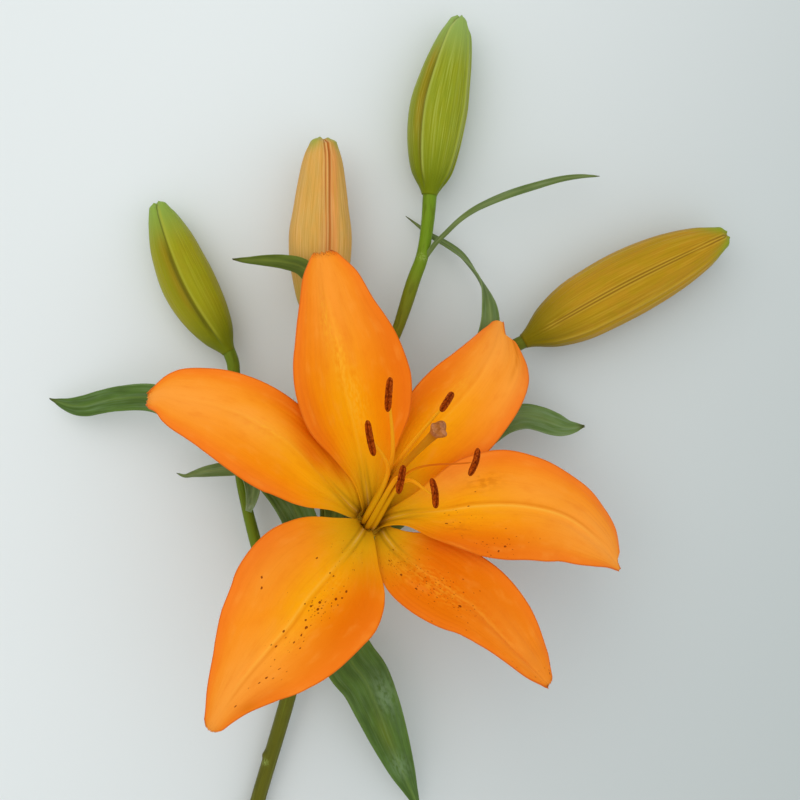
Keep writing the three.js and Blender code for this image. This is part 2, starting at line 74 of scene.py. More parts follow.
def smoothstep(low: float, high: float, value: Array) -> Array:
    """A share that rises smoothly from 0 at low to 1 at high.

    Args:
        low: the value at which it is 0.
        high: the value at which it is 1. It may be the lower of the two.
        value: where it is read.

    Returns:
        The share at each value.
    """
    share = np.clip((value - low) / (high - low), 0.0, 1.0)
    return share * share * (3.0 - 2.0 * share)


def swell(offset: Array, width: float | Array) -> Array:
    """A soft bump of height 1 at an offset of 0, which dies away over its width."""
    return np.exp(-((offset / width) ** 2))


def along(values: Sequence[float], shares: Array) -> Array:
    """Reads evenly spaced values smoothly at shares of their length.

    Args:
        values: numbers at equal steps from the start of a piece to its end.
        shares: where they are read, 0 to 1.

    Returns:
        The smooth value at each share.
    """
    known = np.array([values[0], *values, values[-1]], float)
    place = np.clip(shares, 0.0, 1.0) * (len(values) - 1)
    index = np.minimum(np.floor(place).astype(int), len(values) - 2)
    a, b, c, d = (known[index + k] for k in range(4))
    f = place - index
    return b + 0.5 * f * (c - a + f * (2 * a - 5 * b + 4 * c - d + f * (3 * (b - c) + d - a)))


def unit(vectors: Array) -> Array:
    """The same directions with a length of 1."""
    return vectors / np.linalg.norm(vectors, axis=-1, keepdims=True)


def turned(vectors: Array, axes: Array, angles: Array) -> Array:
    """Vectors turned about unit axes that they are square to, by angles in radians."""
    return vectors * np.cos(angles) + np.cross(axes, vectors) * np.sin(angles)


class Path:
    """A smooth line through a few points, read by its share of the whole length."""

    STEPS = 48  # dense points between two given ones

    def __init__(self, points: Sequence[Point]) -> None:
        """Lays the line through its points.

        Args:
            points: the points in order, in millimetres.
        """
        given = np.array(points, float)
        ends = 2 * given[:1] - given[1:2], 2 * given[-1:] - given[-2:-1]
        known = np.vstack([ends[0], given, ends[1]])
        stretches = [self._stretch(*known[i : i + 4]) for i in range(len(given) - 1)]
        self.line = np.vstack([*stretches, given[-1:]])
        steps = np.linalg.norm(np.diff(self.line, axis=0), axis=1)
        self.length = float(steps.sum())
        self.shares = np.concatenate([[0.0], np.cumsum(steps)]) / self.length
        self.slopes = np.gradient(self.line, self.shares, axis=0)

    def _stretch(self, a: Array, b: Array, c: Array, d: Array) -> Array:
        """Fills one stretch of the line.

        Args:
            a: the point before the stretch.
            b: its first point.
            c: its last point.
            d: the point after it.

        Returns:
            Dense points from b up to c, on a curve that a and d bend.
        """
        k0, k1, k2 = (np.linalg.norm(q - p) ** 0.5 for p, q in ((a, b), (b, c), (c, d)))
        out = k1 * ((b - a) / k0 - (c - a) / (k0 + k1) + (c - b) / k1)
        home = k1 * ((c - b) / k1 - (d - b) / (k1 + k2) + (d - c) / k2)
        f = np.linspace(0.0, 1.0, self.STEPS, endpoint=False)[:, None]
        return b + f * (out + f * (3 * (c - b) - 2 * out - home + f * (2 * (b - c) + out + home)))

    def at(self, shares: Array) -> Array:
        """The points at shares of the length."""
        return np.stack([np.interp(shares, self.shares, axis) for axis in self.line.T], axis=-1)

    def heading(self, shares: Array) -> Array:
        """The unit directions of travel at shares of the length."""
        return unit(np.stack([np.interp(shares, self.shares, axis) for axis in self.slopes.T], axis=-1))


# ---- Meshes ----


def placed(name: str, data: bpy.types.ID) -> bpy.types.Object:
    """Puts an object into the scene.

    Args:
        name: the object's name.
        data: its mesh, light or camera.

    Returns:
        The object, at the origin.
    """
    made = bpy.data.objects.new(name, data)
    bpy.context.scene.collection.objects.link(made)
    return made


@dataclass
class Skin:
    """The points, faces and surface numbers of one piece, before they become a mesh."""

    points: Array
    faces: Faces
    numbers: dict[str, Array]
    grain: Array

    def made(self, name: str) -> bpy.types.Object:
        """Turns the skin into an object of the scene.

        Args:
            name: the object's name.

        Returns:
            A smooth-shaded mesh object, in metres, in the part's frame.
        """
        mesh = bpy.data.meshes.new(name)
        mesh.from_pydata(((self.points + LAYOUT_ORIGIN) * MM).tolist(), [], self.faces)
        for label, values in self.numbers.items():
            store = mesh.attributes.new(label, "FLOAT", "POINT")
            store.data.foreach_set("value", np.asarray(values, np.float32).ravel())
        store = mesh.attributes.new("grain", "FLOAT_VECTOR", "POINT")
        store.data.foreach_set("vector", self.grain.astype(np.float32).ravel())
        mesh.shade_smooth()
        mesh.update()
        return placed(name, mesh)


def quads(rows: int, columns: int, first: int = 0, wrap: bool = False, flip: bool = False) -> Faces:
    """The four-sided faces of a grid of points.

    Args:
        rows: how many rows of points.
        columns: how many points in a row.
        first: the number of the first point.
        wrap: True if the last point of a row meets the first.
        flip: True to turn the faces round.

    Returns:
        The faces, as numbers of points.
    """
    i, j = np.meshgrid(np.arange(rows - 1), np.arange(columns if wrap else columns - 1), indexing="ij")
    row, next_row = i * columns, (i + 1) * columns
    beside = (j + 1) % columns
    corners = np.stack([row + j, row + beside, next_row + beside, next_row + j], -1).reshape(-1, 4)
    faces = (corners[:, ::-1] if flip else corners) + first
    return [tuple(face) for face in faces.tolist()]


def round_skin(rings: Array, numbers: dict[str, Array], grain: Array) -> Skin:
    """Skins rings of points and closes both ends on their middles.

    Args:
        rings: the points, as rings by sides by 3, each ring turning the same way.
        numbers: what each point holds, as rings by sides.
        grain: each point's place in the grain, as rings by sides by 3.

    Returns:
        The closed skin.
    """
    count, sides, _ = rings.shape
    low, high = count * sides, count * sides + 1
    last = (count - 1) * sides
    faces = quads(count, sides, wrap=True)
    faces += [(low, (j + 1) % sides, j) for j in range(sides)]
    faces += [(high, last + j, last + (j + 1) % sides) for j in range(sides)]
    points, held_grain = (np.vstack([a.reshape(-1, 3), a[[0, -1]].mean(axis=1)]) for a in (rings, grain))
    held = {k: np.concatenate([v.ravel(), v[[0, -1]].mean(axis=1)]) for k, v in numbers.items()}
    return Skin(points, faces, held, held_grain)


# ---- Shader nodes ----


class Graph:
    """Builds one material's nodes, a value at a time.

    A value is a socket, a plain number, or the label of a number that the piece's mesh holds.
    """

    def __init__(self, name: str) -> None:
        """Starts an empty material.

        Args:
            name: the material's name.
        """
        self.material = bpy.data.materials.new(name)
        self.material.use_nodes = True
        self.tree = self.material.node_tree
        self.tree.nodes.clear()

    def node(self, kind: str, inputs: dict[int | str, Value | Colour], **settings: object) -> bpy.types.Node:
        """Adds a node.

        Args:
            kind: the node's type.
            inputs: what its inputs get, by name or by place.
            settings: its settings, by name.

        Returns:
            The node.
        """
        node = self.tree.nodes.new(kind)
        for key, setting in settings.items():
            setattr(node, key, setting)
        for key, value in inputs.items():
            self._feed(node.inputs[key], value)
        return node

    def _feed(self, socket: Socket, value: Value | Colour) -> None:
        """Gives a socket its value.

        Args:
            socket: the socket of a node's input.
            value: what it gets. A socket or a label is linked to it, and anything else is set.
        """
        if isinstance(value, str):
            value = self.node("ShaderNodeAttribute", {}, attribute_name=value).outputs["Fac"]
        if isinstance(value, bpy.types.NodeSocket):
            self.tree.links.new(value, socket)
        else:
            socket.default_value = (*value, 1.0) if socket.type == "RGBA" else value

    def grain(self, across: float, lengthwise: float) -> Socket:
        """The piece's grain, counted in steps.

        Args:
            across: millimetres to a step across the grain.
            lengthwise: millimetres to a step along it.

        Returns:
            The socket of the place in steps.
        """
        place = self.node("ShaderNodeAttribute", {}, attribute_name="grain").outputs["Vector"]
        steps = (1 / across, 1 / across, 1 / lengthwise)
        return self.node("ShaderNodeMapping", {"Vector": place, "Scale": steps}).outputs["Vector"]

    def noise(self, place: Socket, detail: float = 2.0) -> Socket:
        """Soft noise, mostly between 0.3 and 0.7, read at a place in steps."""
        inputs = {"Vector": place, "Scale": 1.0, "Detail": detail}
        return self.node("ShaderNodeTexNoise", inputs).outputs["Fac"]

    def cloud(self, across: float, lengthwise: float, detail: float = 3.0) -> Socket:
        """Soft noise over the grain, in clouds as wide and as long as a step."""
        return self.noise(self.grain(across, lengthwise), detail)

    def cells(self, across: float, lengthwise: float, flat: bool = False) -> tuple[Socket, Socket, Socket]:
        """Scattered cells over the grain, one to a step.

        Args:
            across: millimetres to a step across the grain.
            lengthwise: millimetres to a step along it.
            flat: True to scatter them over the grain's width and length alone.

        Returns:
            The distance to the nearest cell's middle, and two random numbers of that cell.
        """
        place = self.grain(across, lengthwise)
        if flat:
            turn = (math.pi / 2, 0.0, 0.0)
            place = self.node("ShaderNodeMapping", {"Vector": place, "Rotation": turn}).outputs["Vector"]
        inputs = {"Vector": place, "Scale": 1.0}
        scattered = self.node("ShaderNodeTexVoronoi", inputs, voronoi_dimensions="2D" if flat else "3D")
        split = self.node("ShaderNodeSeparateColor", {0: scattered.outputs["Color"]})
        return scattered.outputs["Distance"], split.outputs[0], split.outputs[1]

    def calc(self, operation: str, a: Value, b: Value) -> Socket:
        """The result of a Math node's operation on two values."""
        return self.node("ShaderNodeMath", {0: a, 1: b}, operation=operation).outputs[0]

    def times(self, a: Value, b: Value) -> Socket:
        """The product of two values."""
        return self.calc("MULTIPLY", a, b)

    def total(self, *parts: tuple[Value, Value]) -> Socket:
        """Adds values up.

        Args:
            parts: each value and its weight.

        Returns:
            The socket of the sum.
        """
        result, *others = (self.times(value, weight) for value, weight in parts)
        for other in others:
            result = self.calc("ADD", result, other)
        return result

    def rise(self, value: Value, low: float, high: float, top: float = 1.0, start: float = 0.0) -> Socket:
        """A smooth rise.

        Args:
            value: what is read.
            low: the value at which the rise begins.
            high: the value at which it ends. It may be the lower of the two.
            top: what it rises to.
            start: what it rises from.

        Returns:
            The socket of the result.
        """
        inputs = dict(enumerate((value, low, high, start, top)))
        return self.node("ShaderNodeMapRange", inputs, interpolation_type="SMOOTHSTEP").outputs[0]

    def layered(self, base: Colour, layers: Sequence[tuple[Value, Socket | Colour]]) -> Socket:
        """Lays colours over each other.

        Args:
            base: the lowest colour.
            layers: for each colour on top, how much of it shows, 0 to 1, and the colour.

        Returns:
            The socket of the colour that shows.
        """
        colour = base
        for share, shade in layers:
            colour = self.node("ShaderNodeMix", {0: share, 6: colour, 7: shade}, data_type="RGBA").outputs[2]
        return colour

    def finished(
        self, colour: Socket, roughness: Value, relief: Value, depth: float, gloss: float, tint: Colour
    ) -> bpy.types.Material:
        """Ends the graph in a surface.

        Args:
            colour: the surface's colour.
            roughness: how dull it is.
            relief: its fine relief, 0 to 1.
            depth: the relief's full depth, in millimetres.
            gloss: how strong its gloss is.
            tint: the colour of its gloss.

        Returns:
            The material.
        """
        bump = self.node("ShaderNodeBump", {"Strength": 1.0, "Distance": depth * MM, "Height": relief})
        inputs = {
            "Base Color": colour, "Roughness": roughness, "Normal": bump.outputs["Normal"],
            "Specular IOR Level": gloss, "Specular Tint": tint,
        }
        shader = self.node("ShaderNodeBsdfPrincipled", inputs)
        self.node("ShaderNodeOutputMaterial", {"Surface": shader.outputs[0]})
        return self.material


def srgb(*levels: int) -> Colour:
    """A colour as a screen shows it.

    Args:
        levels: its red, green and blue, 0 to 255.

    Returns:
        The light of each that they stand for, 0 to 1.
    """
    shares = [level / 255 for level in levels]
    return tuple(share / 12.92 if share <= 0.04045 else ((share + 0.055) / 1.055) ** 2.4 for share in shares)


# ---- Finishes ----


@dataclass(frozen=True)
class Finish(ABC):
    """How a kind of surface looks. Its gloss is tinted, because it comes from inside living tissue."""

    label: str

    DEPTH = 0.16  # of the full relief, in millimetres
    GLOSS = 0.3
    TINT: ClassVar[Colour] = (1.0, 1.0, 1.0)

    @abstractmethod
    def surface(self, g: Graph) -> Look:
        """The colour, roughness and relief, made with the material's graph."""

    def material(self) -> bpy.types.Material:
        """Makes the material.

        Returns:
            The material, which reads the numbers that the pieces' meshes hold.
        """
        g = Graph(self.label)
        return g.finished(*self.surface(g), self.DEPTH, self.GLOSS, self.TINT)


@dataclass(frozen=True)
class PetalFinish(Finish):
    """Orange petal tissue: yellow by the rib, red at the rims, olive in the throat, freckled, with painted
    shade and highlight.
    """

    body: Colour = srgb(246, 134, 2)
    glow: Colour = srgb(253, 168, 2)
    pale: Colour = srgb(254, 160, 60)
    blush: Colour = srgb(245, 116, 34)
    # deeper orange tone, also painted shade where a neighbouring petal overlaps or the side curves away
    deep: Colour = srgb(228, 104, 0)
    throat: Colour = srgb(216, 168, 18)
    furrow: Colour = srgb(150, 108, 10)
    # a paler rib line, also a painted highlight on the raised rib
    ridge: Colour = srgb(244, 204, 116)
    line: Colour = srgb(255, 190, 70)
    # painted shade in folds, beside the rib and under a neighbouring petal's edge
    crease: Colour = srgb(216, 112, 2)
    fleck: Colour = srgb(254, 176, 42)
    smudge: Colour = srgb(208, 108, 6)
    freckle: Colour = srgb(122, 36, 2)
    speck: Colour = srgb(150, 54, 2)
    # painted shade on the rounded edge
    rim: Colour = srgb(204, 88, 14)
    scorch: Colour = srgb(150, 66, 8)
    back: Colour = srgb(240, 146, 44)
    streak: Colour = srgb(222, 102, 2)

    SPACING = (1.7, 2.3)  # millimetres between the largest freckles, across and along
    TINT = (1.0, 0.52, 0.1)

    def surface(self, g: Graph) -> Look:
        """Paints the petals.

        Args:
            g: the material's graph.

        Returns:
            The colour, roughness and relief.
        """
        streak, mottle = g.cloud(0.55, 24.0), g.cloud(4.0, 8.0)
        fleck = g.rise(g.cloud(0.8, 2.0), 0.42, 0.62)
        blot = g.rise(g.cloud(1.3, 2.6), 0.42, 0.6)
        rust = g.rise(g.cloud(0.5, 0.7), 0.42, 0.58)
        spot, speck = self._spots(g, "freckle", 1.0), self._spots(g, "speck", 0.5)
        # deep, crease and rim are partly or wholly painted shade, and line is partly a painted highlight
        colour = g.layered(self.body, [
            ("glow", self.glow),
            ("deep", self.deep),
            ("pale", self.pale),
            ("blush", self.blush),
            (g.rise(streak, 0.52, 0.75, 0.16), self.streak),
            (g.rise(mottle, 0.5, 0.75, 0.25), self.pale),
            (g.rise(mottle, 0.5, 0.25, 0.2), self.deep),
            ("line", self.line),
            (g.times("fleck", fleck), self.fleck),
            ("crease", self.crease),
            (g.times("back", 0.6), self.back),
            ("rim", self.rim),
            ("throat", self.throat),
            ("furrow", self.furrow),
            ("ridge", self.ridge),
            (g.times("smudge", blot), self.smudge),
            (g.times("scorch", rust), self.scorch),
            (g.times(speck, 0.75), self.speck),
            (spot, self.freckle),
        ])
        relief = g.total((streak, 0.3), (g.cloud(0.35, 1.2, 2.0), 0.3), (mottle, 0.9), (spot, 0.6))
        return colour, g.rise(mottle, 0.2, 0.8, 0.56, start=0.42), relief

    def _spots(self, g: Graph, label: str, step: float) -> Socket:
        """Spots of uneven size and outline, where the mesh asks for them.

        Args:
            g: the petals' graph.
            label: the number that says how many there are.
            step: how far apart they are, as a share of the largest spacing.

        Returns:
            The socket that is 0 off the spots, and more on the larger of them.
        """
        distance, chance, size = g.cells(*(step * gap for gap in self.SPACING), flat=True)
        radius = g.total((g.times(size, size), 0.15), (g.cloud(0.3, 0.4, 1.0), 0.22))
        inside = g.calc("LESS_THAN", distance, radius)
        wanted = g.times(inside, g.calc("LESS_THAN", chance, label))
        return g.times(wanted, g.rise(size, -0.5, 0.9, 0.9))


@dataclass(frozen=True)
class LeafFinish(Finish):
    """Green leaf tissue with fine lengthwise veins and a dull bloom, which is partly a painted grey sheen."""

    body: Colour
    dark: Colour
    vein: Colour
    # dull bloom, also a painted grey sheen
    bloom: Colour
    back: Colour
    olive: Colour = srgb(92, 106, 12)
    point: Colour = srgb(66, 62, 22)

    DEPTH = 0.12
    GLOSS = 0.35
    TINT = (0.8, 0.95, 0.45)

    def surface(self, g: Graph) -> Look:
        """Paints the leaves.

        Args:
            g: the material's graph.

        Returns:
            The colour, roughness and relief.
        """
        streak, mottle = g.cloud(0.32, 30.0, 2.0), g.cloud(4.0, 12.0)
        haze_and_sheen = g.rise(g.cloud(1.2, 14.0), 0.42, 0.75, 0.5)
        wisp = g.rise(g.cloud(1.6, 2.6, 4.0), 0.3, 0.6)
        colour = g.layered(self.body, [
            (g.rise(mottle, 0.35, 0.65), self.dark),
            ("olive", self.olive),
            (g.rise(streak, 0.5, 0.7, 0.25), self.vein),
            (g.times("midrib", 0.45), self.vein),
            (g.times("rim", 0.35), self.vein),
            # bloom, partly painted sheen
            (g.times("haze_and_sheen", haze_and_sheen), self.bloom),
            (g.times("wisp", wisp), self.bloom),
            (g.times("back", 0.8), self.back),
            ("point", self.point),
        ])
        return colour, g.rise(mottle, 0.2, 0.8, 0.58, start=0.42), g.total((streak, 0.8), (mottle, 0.2))


@dataclass(frozen=True)
class BudFinish(Finish):
    """A closed bud: fine lengthwise ribs, coloured seams between pale lips, other colours at its ends, and
    painted shade and highlights round its seams.
    """

    body: Colour
    rib: Colour
    flush: Colour
    # the seam's colour, also painted shade in the folds' furrows, the hollow and the crack
    seam: Colour
    # a warm tint, partly laid on painted shade
    warm: Colour
    # paler lips, also a painted highlight on the folds' crests and on raised edges
    lip: Colour
    foot: Colour
    tip: Colour
    # painted shade on the side that lies under a lapped seam
    shade: Colour
    stripe: float  # how strongly its ribs show

    TINT = (1.0, 0.95, 0.35)

    def surface(self, g: Graph) -> Look:
        """Paints the bud.

        Args:
            g: the material's graph.

        Returns:
            The colour, roughness and relief.
        """
        streak, mottle = g.cloud(0.4, 18.0), g.cloud(2.5, 7.0, 4.0)
        colour = g.layered(self.body, [
            (g.rise(mottle, 0.38, 0.62), self.flush),
            ("shade", self.shade),
            ("warm", self.warm),
            (g.rise(streak, 0.5, 0.62, self.stripe), self.rib),
            (g.rise(streak, 0.46, 0.34, 0.6 * self.stripe), self.lip),
            ("keel", self.lip),
            ("foot", self.foot),
            ("tip", self.tip),
            ("lips", self.lip),
            ("seam", self.seam),
        ])
        return colour, g.rise(streak, 0.3, 0.8, 0.58, start=0.42), g.total((streak, 0.7), (mottle, 0.5))


@dataclass(frozen=True)
class StemFinish(Finish):
    """Stem tissue: bright green near the buds, olive brown lower down, pale where it is cut."""

    young: Colour = srgb(104, 136, 18)
    old: Colour = srgb(86, 84, 12)
    gold: Colour = srgb(120, 104, 10)
    light: Colour = srgb(112, 122, 34)
    dark: Colour = srgb(68, 68, 8)
    throat: Colour = srgb(236, 190, 40)
    pith: Colour = srgb(206, 212, 160)
    ring: Colour = srgb(150, 168, 84)

    DEPTH = 0.14
    GLOSS = 0.35
    TINT = (0.95, 0.95, 0.35)

    def surface(self, g: Graph) -> Look:
        """Paints the stem.

        Args:
            g: the material's graph.

        Returns:
            The colour, roughness and relief.
        """
        streak, mottle = g.cloud(0.5, 22.0), g.cloud(1.4, 6.0)
        fleck = g.rise(g.cloud(0.5, 0.6, 2.0), 0.4, 0.6)
        colour = g.layered(self.old, [
            ("gold", self.gold),
            ("young", self.young),
            (g.rise(streak, 0.48, 0.75, 0.5), self.light),
            (g.rise(mottle, 0.5, 0.8, 0.5), self.dark),
            ("scar", self.dark),
            (g.times("node", fleck), self.ring),
            ("throat", self.throat),
            ("cut", self.ring),
            ("pith", self.pith),
        ])
        return colour, g.rise(mottle, 0.2, 0.8, 0.56, start=0.4), g.total((streak, 0.7), (mottle, 0.3))


@dataclass(frozen=True)
class FilamentFinish(Finish):
    """A smooth filament, whose foot and top differ in colour."""

    foot: Colour
    top: Colour
    turning: float  # the share of its length where the top's colour begins

    DEPTH = 0.06
    GLOSS = 0.35
    TINT = (1.0, 0.75, 0.2)

    def surface(self, g: Graph) -> Look:
        """Paints the filament.

        Args:
            g: the material's graph.

        Returns:
            The colour, roughness and relief.
        """
        streak = g.cloud(0.3, 9.0, 2.0)
        colour = g.layered(self.foot, [
            (g.rise("share", self.turning, self.turning + 0.3), self.top),
            (g.rise(streak, 0.45, 0.75, 0.4), self.foot),
        ])
        return colour, g.rise(streak, 0.2, 0.8, 0.51, start=0.36), streak


@dataclass(frozen=True)
class AntherFinish(Finish):
    """Rust-brown pollen in fine grains, dark down the groove."""

    pollen: Colour = srgb(166, 62, 4)
    bright: Colour = srgb(206, 98, 26)
    deep: Colour = srgb(92, 20, 0)

    DEPTH = 0.14
    GLOSS = 0.1
    TINT = (1.0, 0.5, 0.1)
    GRAIN = 0.28  # millimetres
    ROUGHNESS = 0.85

    def surface(self, g: Graph) -> Look:
        """Paints the anthers.

        Args:
            g: the material's graph.

        Returns:
            The colour, roughness and relief.
        """
        distance, chance, _ = g.cells(self.GRAIN, self.GRAIN)
        colour = g.layered(self.pollen, [
            (g.rise(g.cloud(0.9, 1.4), 0.35, 0.7), self.deep),
            (g.rise(chance, 0.55, 1.0, 0.7), self.bright),
            ("groove", self.deep),
        ])
        return colour, self.ROUGHNESS, g.calc("SUBTRACT", 1.0, distance)


@dataclass(frozen=True)
class PistilFinish(Finish):
    """Olive style under a mauve, velvety stigma."""

    ovary: Colour = srgb(226, 172, 14)
    style: Colour = srgb(200, 124, 2)
    neck: Colour = srgb(176, 102, 8)
    stigma: Colour = srgb(176, 102, 40)
    mauve: Colour = srgb(196, 130, 92)
    cleft: Colour = srgb(134, 68, 20)

    DEPTH = 0.08
    TINT = (1.0, 0.8, 0.45)

    def surface(self, g: Graph) -> Look:
        """Paints the pistil.

        Args:
            g: the material's graph.

        Returns:
            The colour, roughness and relief.
        """
        streak, velvet = g.cloud(0.45, 9.0, 2.0), g.cloud(0.22, 0.3, 2.0)
        blush = g.rise(g.cloud(1.2, 1.2, 1.0), 0.46, 0.6, 0.6)
        colour = g.layered(self.ovary, [
            (g.rise("share", 0.18, 0.4), self.style),
            (g.rise(streak, 0.45, 0.75, 0.45), self.ovary),
            (g.rise("share", 0.86, 0.95), self.neck),
            ("stigma", g.layered(self.stigma, [(blush, self.mauve)])),
            (g.times(g.rise(velvet, 0.4, 0.7, 0.5), "stigma"), self.cleft),
            ("cleft", self.cleft),
        ])
        return colour, g.rise(velvet, 0.2, 0.8, 0.65, start=0.45), g.total((streak, 1.0), (velvet, "stigma"))


class Green(Enum):
    """The leaf finishes, by how much dull bloom, partly a painted sheen, lies on the green."""

    FRESH = LeafFinish(
        "leaf_fresh", body=srgb(74, 104, 36), dark=srgb(58, 84, 28), vein=srgb(108, 132, 58),
        bloom=srgb(126, 150, 112), back=srgb(116, 140, 80),
    )
    OLIVE = LeafFinish(
        "leaf_olive", body=srgb(84, 100, 20), dark=srgb(66, 80, 16), vein=srgb(116, 126, 44),
        bloom=srgb(112, 128, 74), back=srgb(110, 128, 60),
    )
    GREY = LeafFinish(
        "leaf_grey", body=srgb(98, 122, 62), dark=srgb(84, 110, 52), vein=srgb(122, 142, 84),
        bloom=srgb(136, 156, 124), back=srgb(116, 140, 96),
    )
    DULL = LeafFinish(
        "leaf_dull", body=srgb(98, 116, 58), dark=srgb(80, 100, 48), vein=srgb(130, 142, 82),
        bloom=srgb(142, 154, 120), back=srgb(116, 136, 84),
    )


class Husk(Enum):
    """The bud finishes, from the youngest bud to the one about to open."""

    GREEN = BudFinish(
        "bud_green", body=srgb(144, 150, 26), rib=srgb(120, 128, 8), flush=srgb(140, 150, 30),
        seam=srgb(104, 92, 4), warm=srgb(154, 120, 8), lip=srgb(178, 186, 92),
        foot=srgb(110, 124, 4), tip=srgb(142, 168, 84), shade=srgb(122, 126, 10), stripe=0.55,
    )
    OLIVE = BudFinish(
        "bud_olive", body=srgb(152, 148, 12), rib=srgb(134, 132, 4), flush=srgb(152, 144, 16),
        seam=srgb(86, 80, 2), warm=srgb(148, 118, 2), lip=srgb(168, 168, 54),
        foot=srgb(112, 122, 8), tip=srgb(136, 164, 66), shade=srgb(124, 122, 4), stripe=0.35,
    )
    PEACH = BudFinish(
        "bud_peach", body=srgb(216, 160, 76), rib=srgb(192, 142, 56), flush=srgb(208, 160, 80),
        seam=srgb(170, 74, 12), warm=srgb(226, 144, 74), lip=srgb(238, 192, 126),
        foot=srgb(160, 140, 40), tip=srgb(146, 158, 62), shade=srgb(180, 130, 50), stripe=0.5,
    )
    GOLDEN = BudFinish(
        "bud_golden", body=srgb(172, 132, 8), rib=srgb(152, 114, 2), flush=srgb(178, 130, 18),
        seam=srgb(124, 80, 2), warm=srgb(182, 132, 16), lip=srgb(208, 172, 56),
        foot=srgb(122, 106, 0), tip=srgb(128, 148, 24), shade=srgb(150, 112, 4), stripe=0.35,
    )


class Thread(Enum):
    """The kinds of filament, by how each looks and how its radius falls from its foot to its end."""

    YELLOW = (
        FilamentFinish("filament_yellow", foot=srgb(214, 158, 10), top=srgb(252, 172, 24), turning=0.35),
        (0.88, 1.0, 0.9, 0.7, 0.52, 0.32),
    )
    RUSSET = (
        FilamentFinish("filament_russet", foot=srgb(238, 152, 16), top=srgb(214, 98, 12), turning=0.5),
        (0.88, 0.95, 0.6, 0.38, 0.28, 0.24),
    )

    def __init__(self, finish: FilamentFinish, radii: Sequence[float]) -> None:
        """Holds what the kind is made of.

        Args:
            finish: how it looks.
            radii: its radii at equal steps, in millimetres.
        """
        self.finish = finish
        self.radii = radii


# ---- Blades: petals and leaves ----


@dataclass(frozen=True)
class Patch:
    """A soft oval on a blade: its middle and half size, along and across in shares, and its strength."""

    share: float
    side: float
    reach: float
    width: float
    strength: float

    def at(self, shares: Array, sides: Array) -> Array:
        """How strong the patch is at places along and across the blade."""
        offset = np.hypot((shares - self.share) / self.reach, (sides - self.side) / self.width)
        return self.strength * swell(offset, 1.0)


def painted(patches: Sequence[Patch], shares: Array, sides: Array) -> Array:
    """The strongest patch at each place, or 0 where there is none."""
    return np.max([np.zeros_like(shares), *(patch.at(shares, sides) for patch in patches)], axis=0)


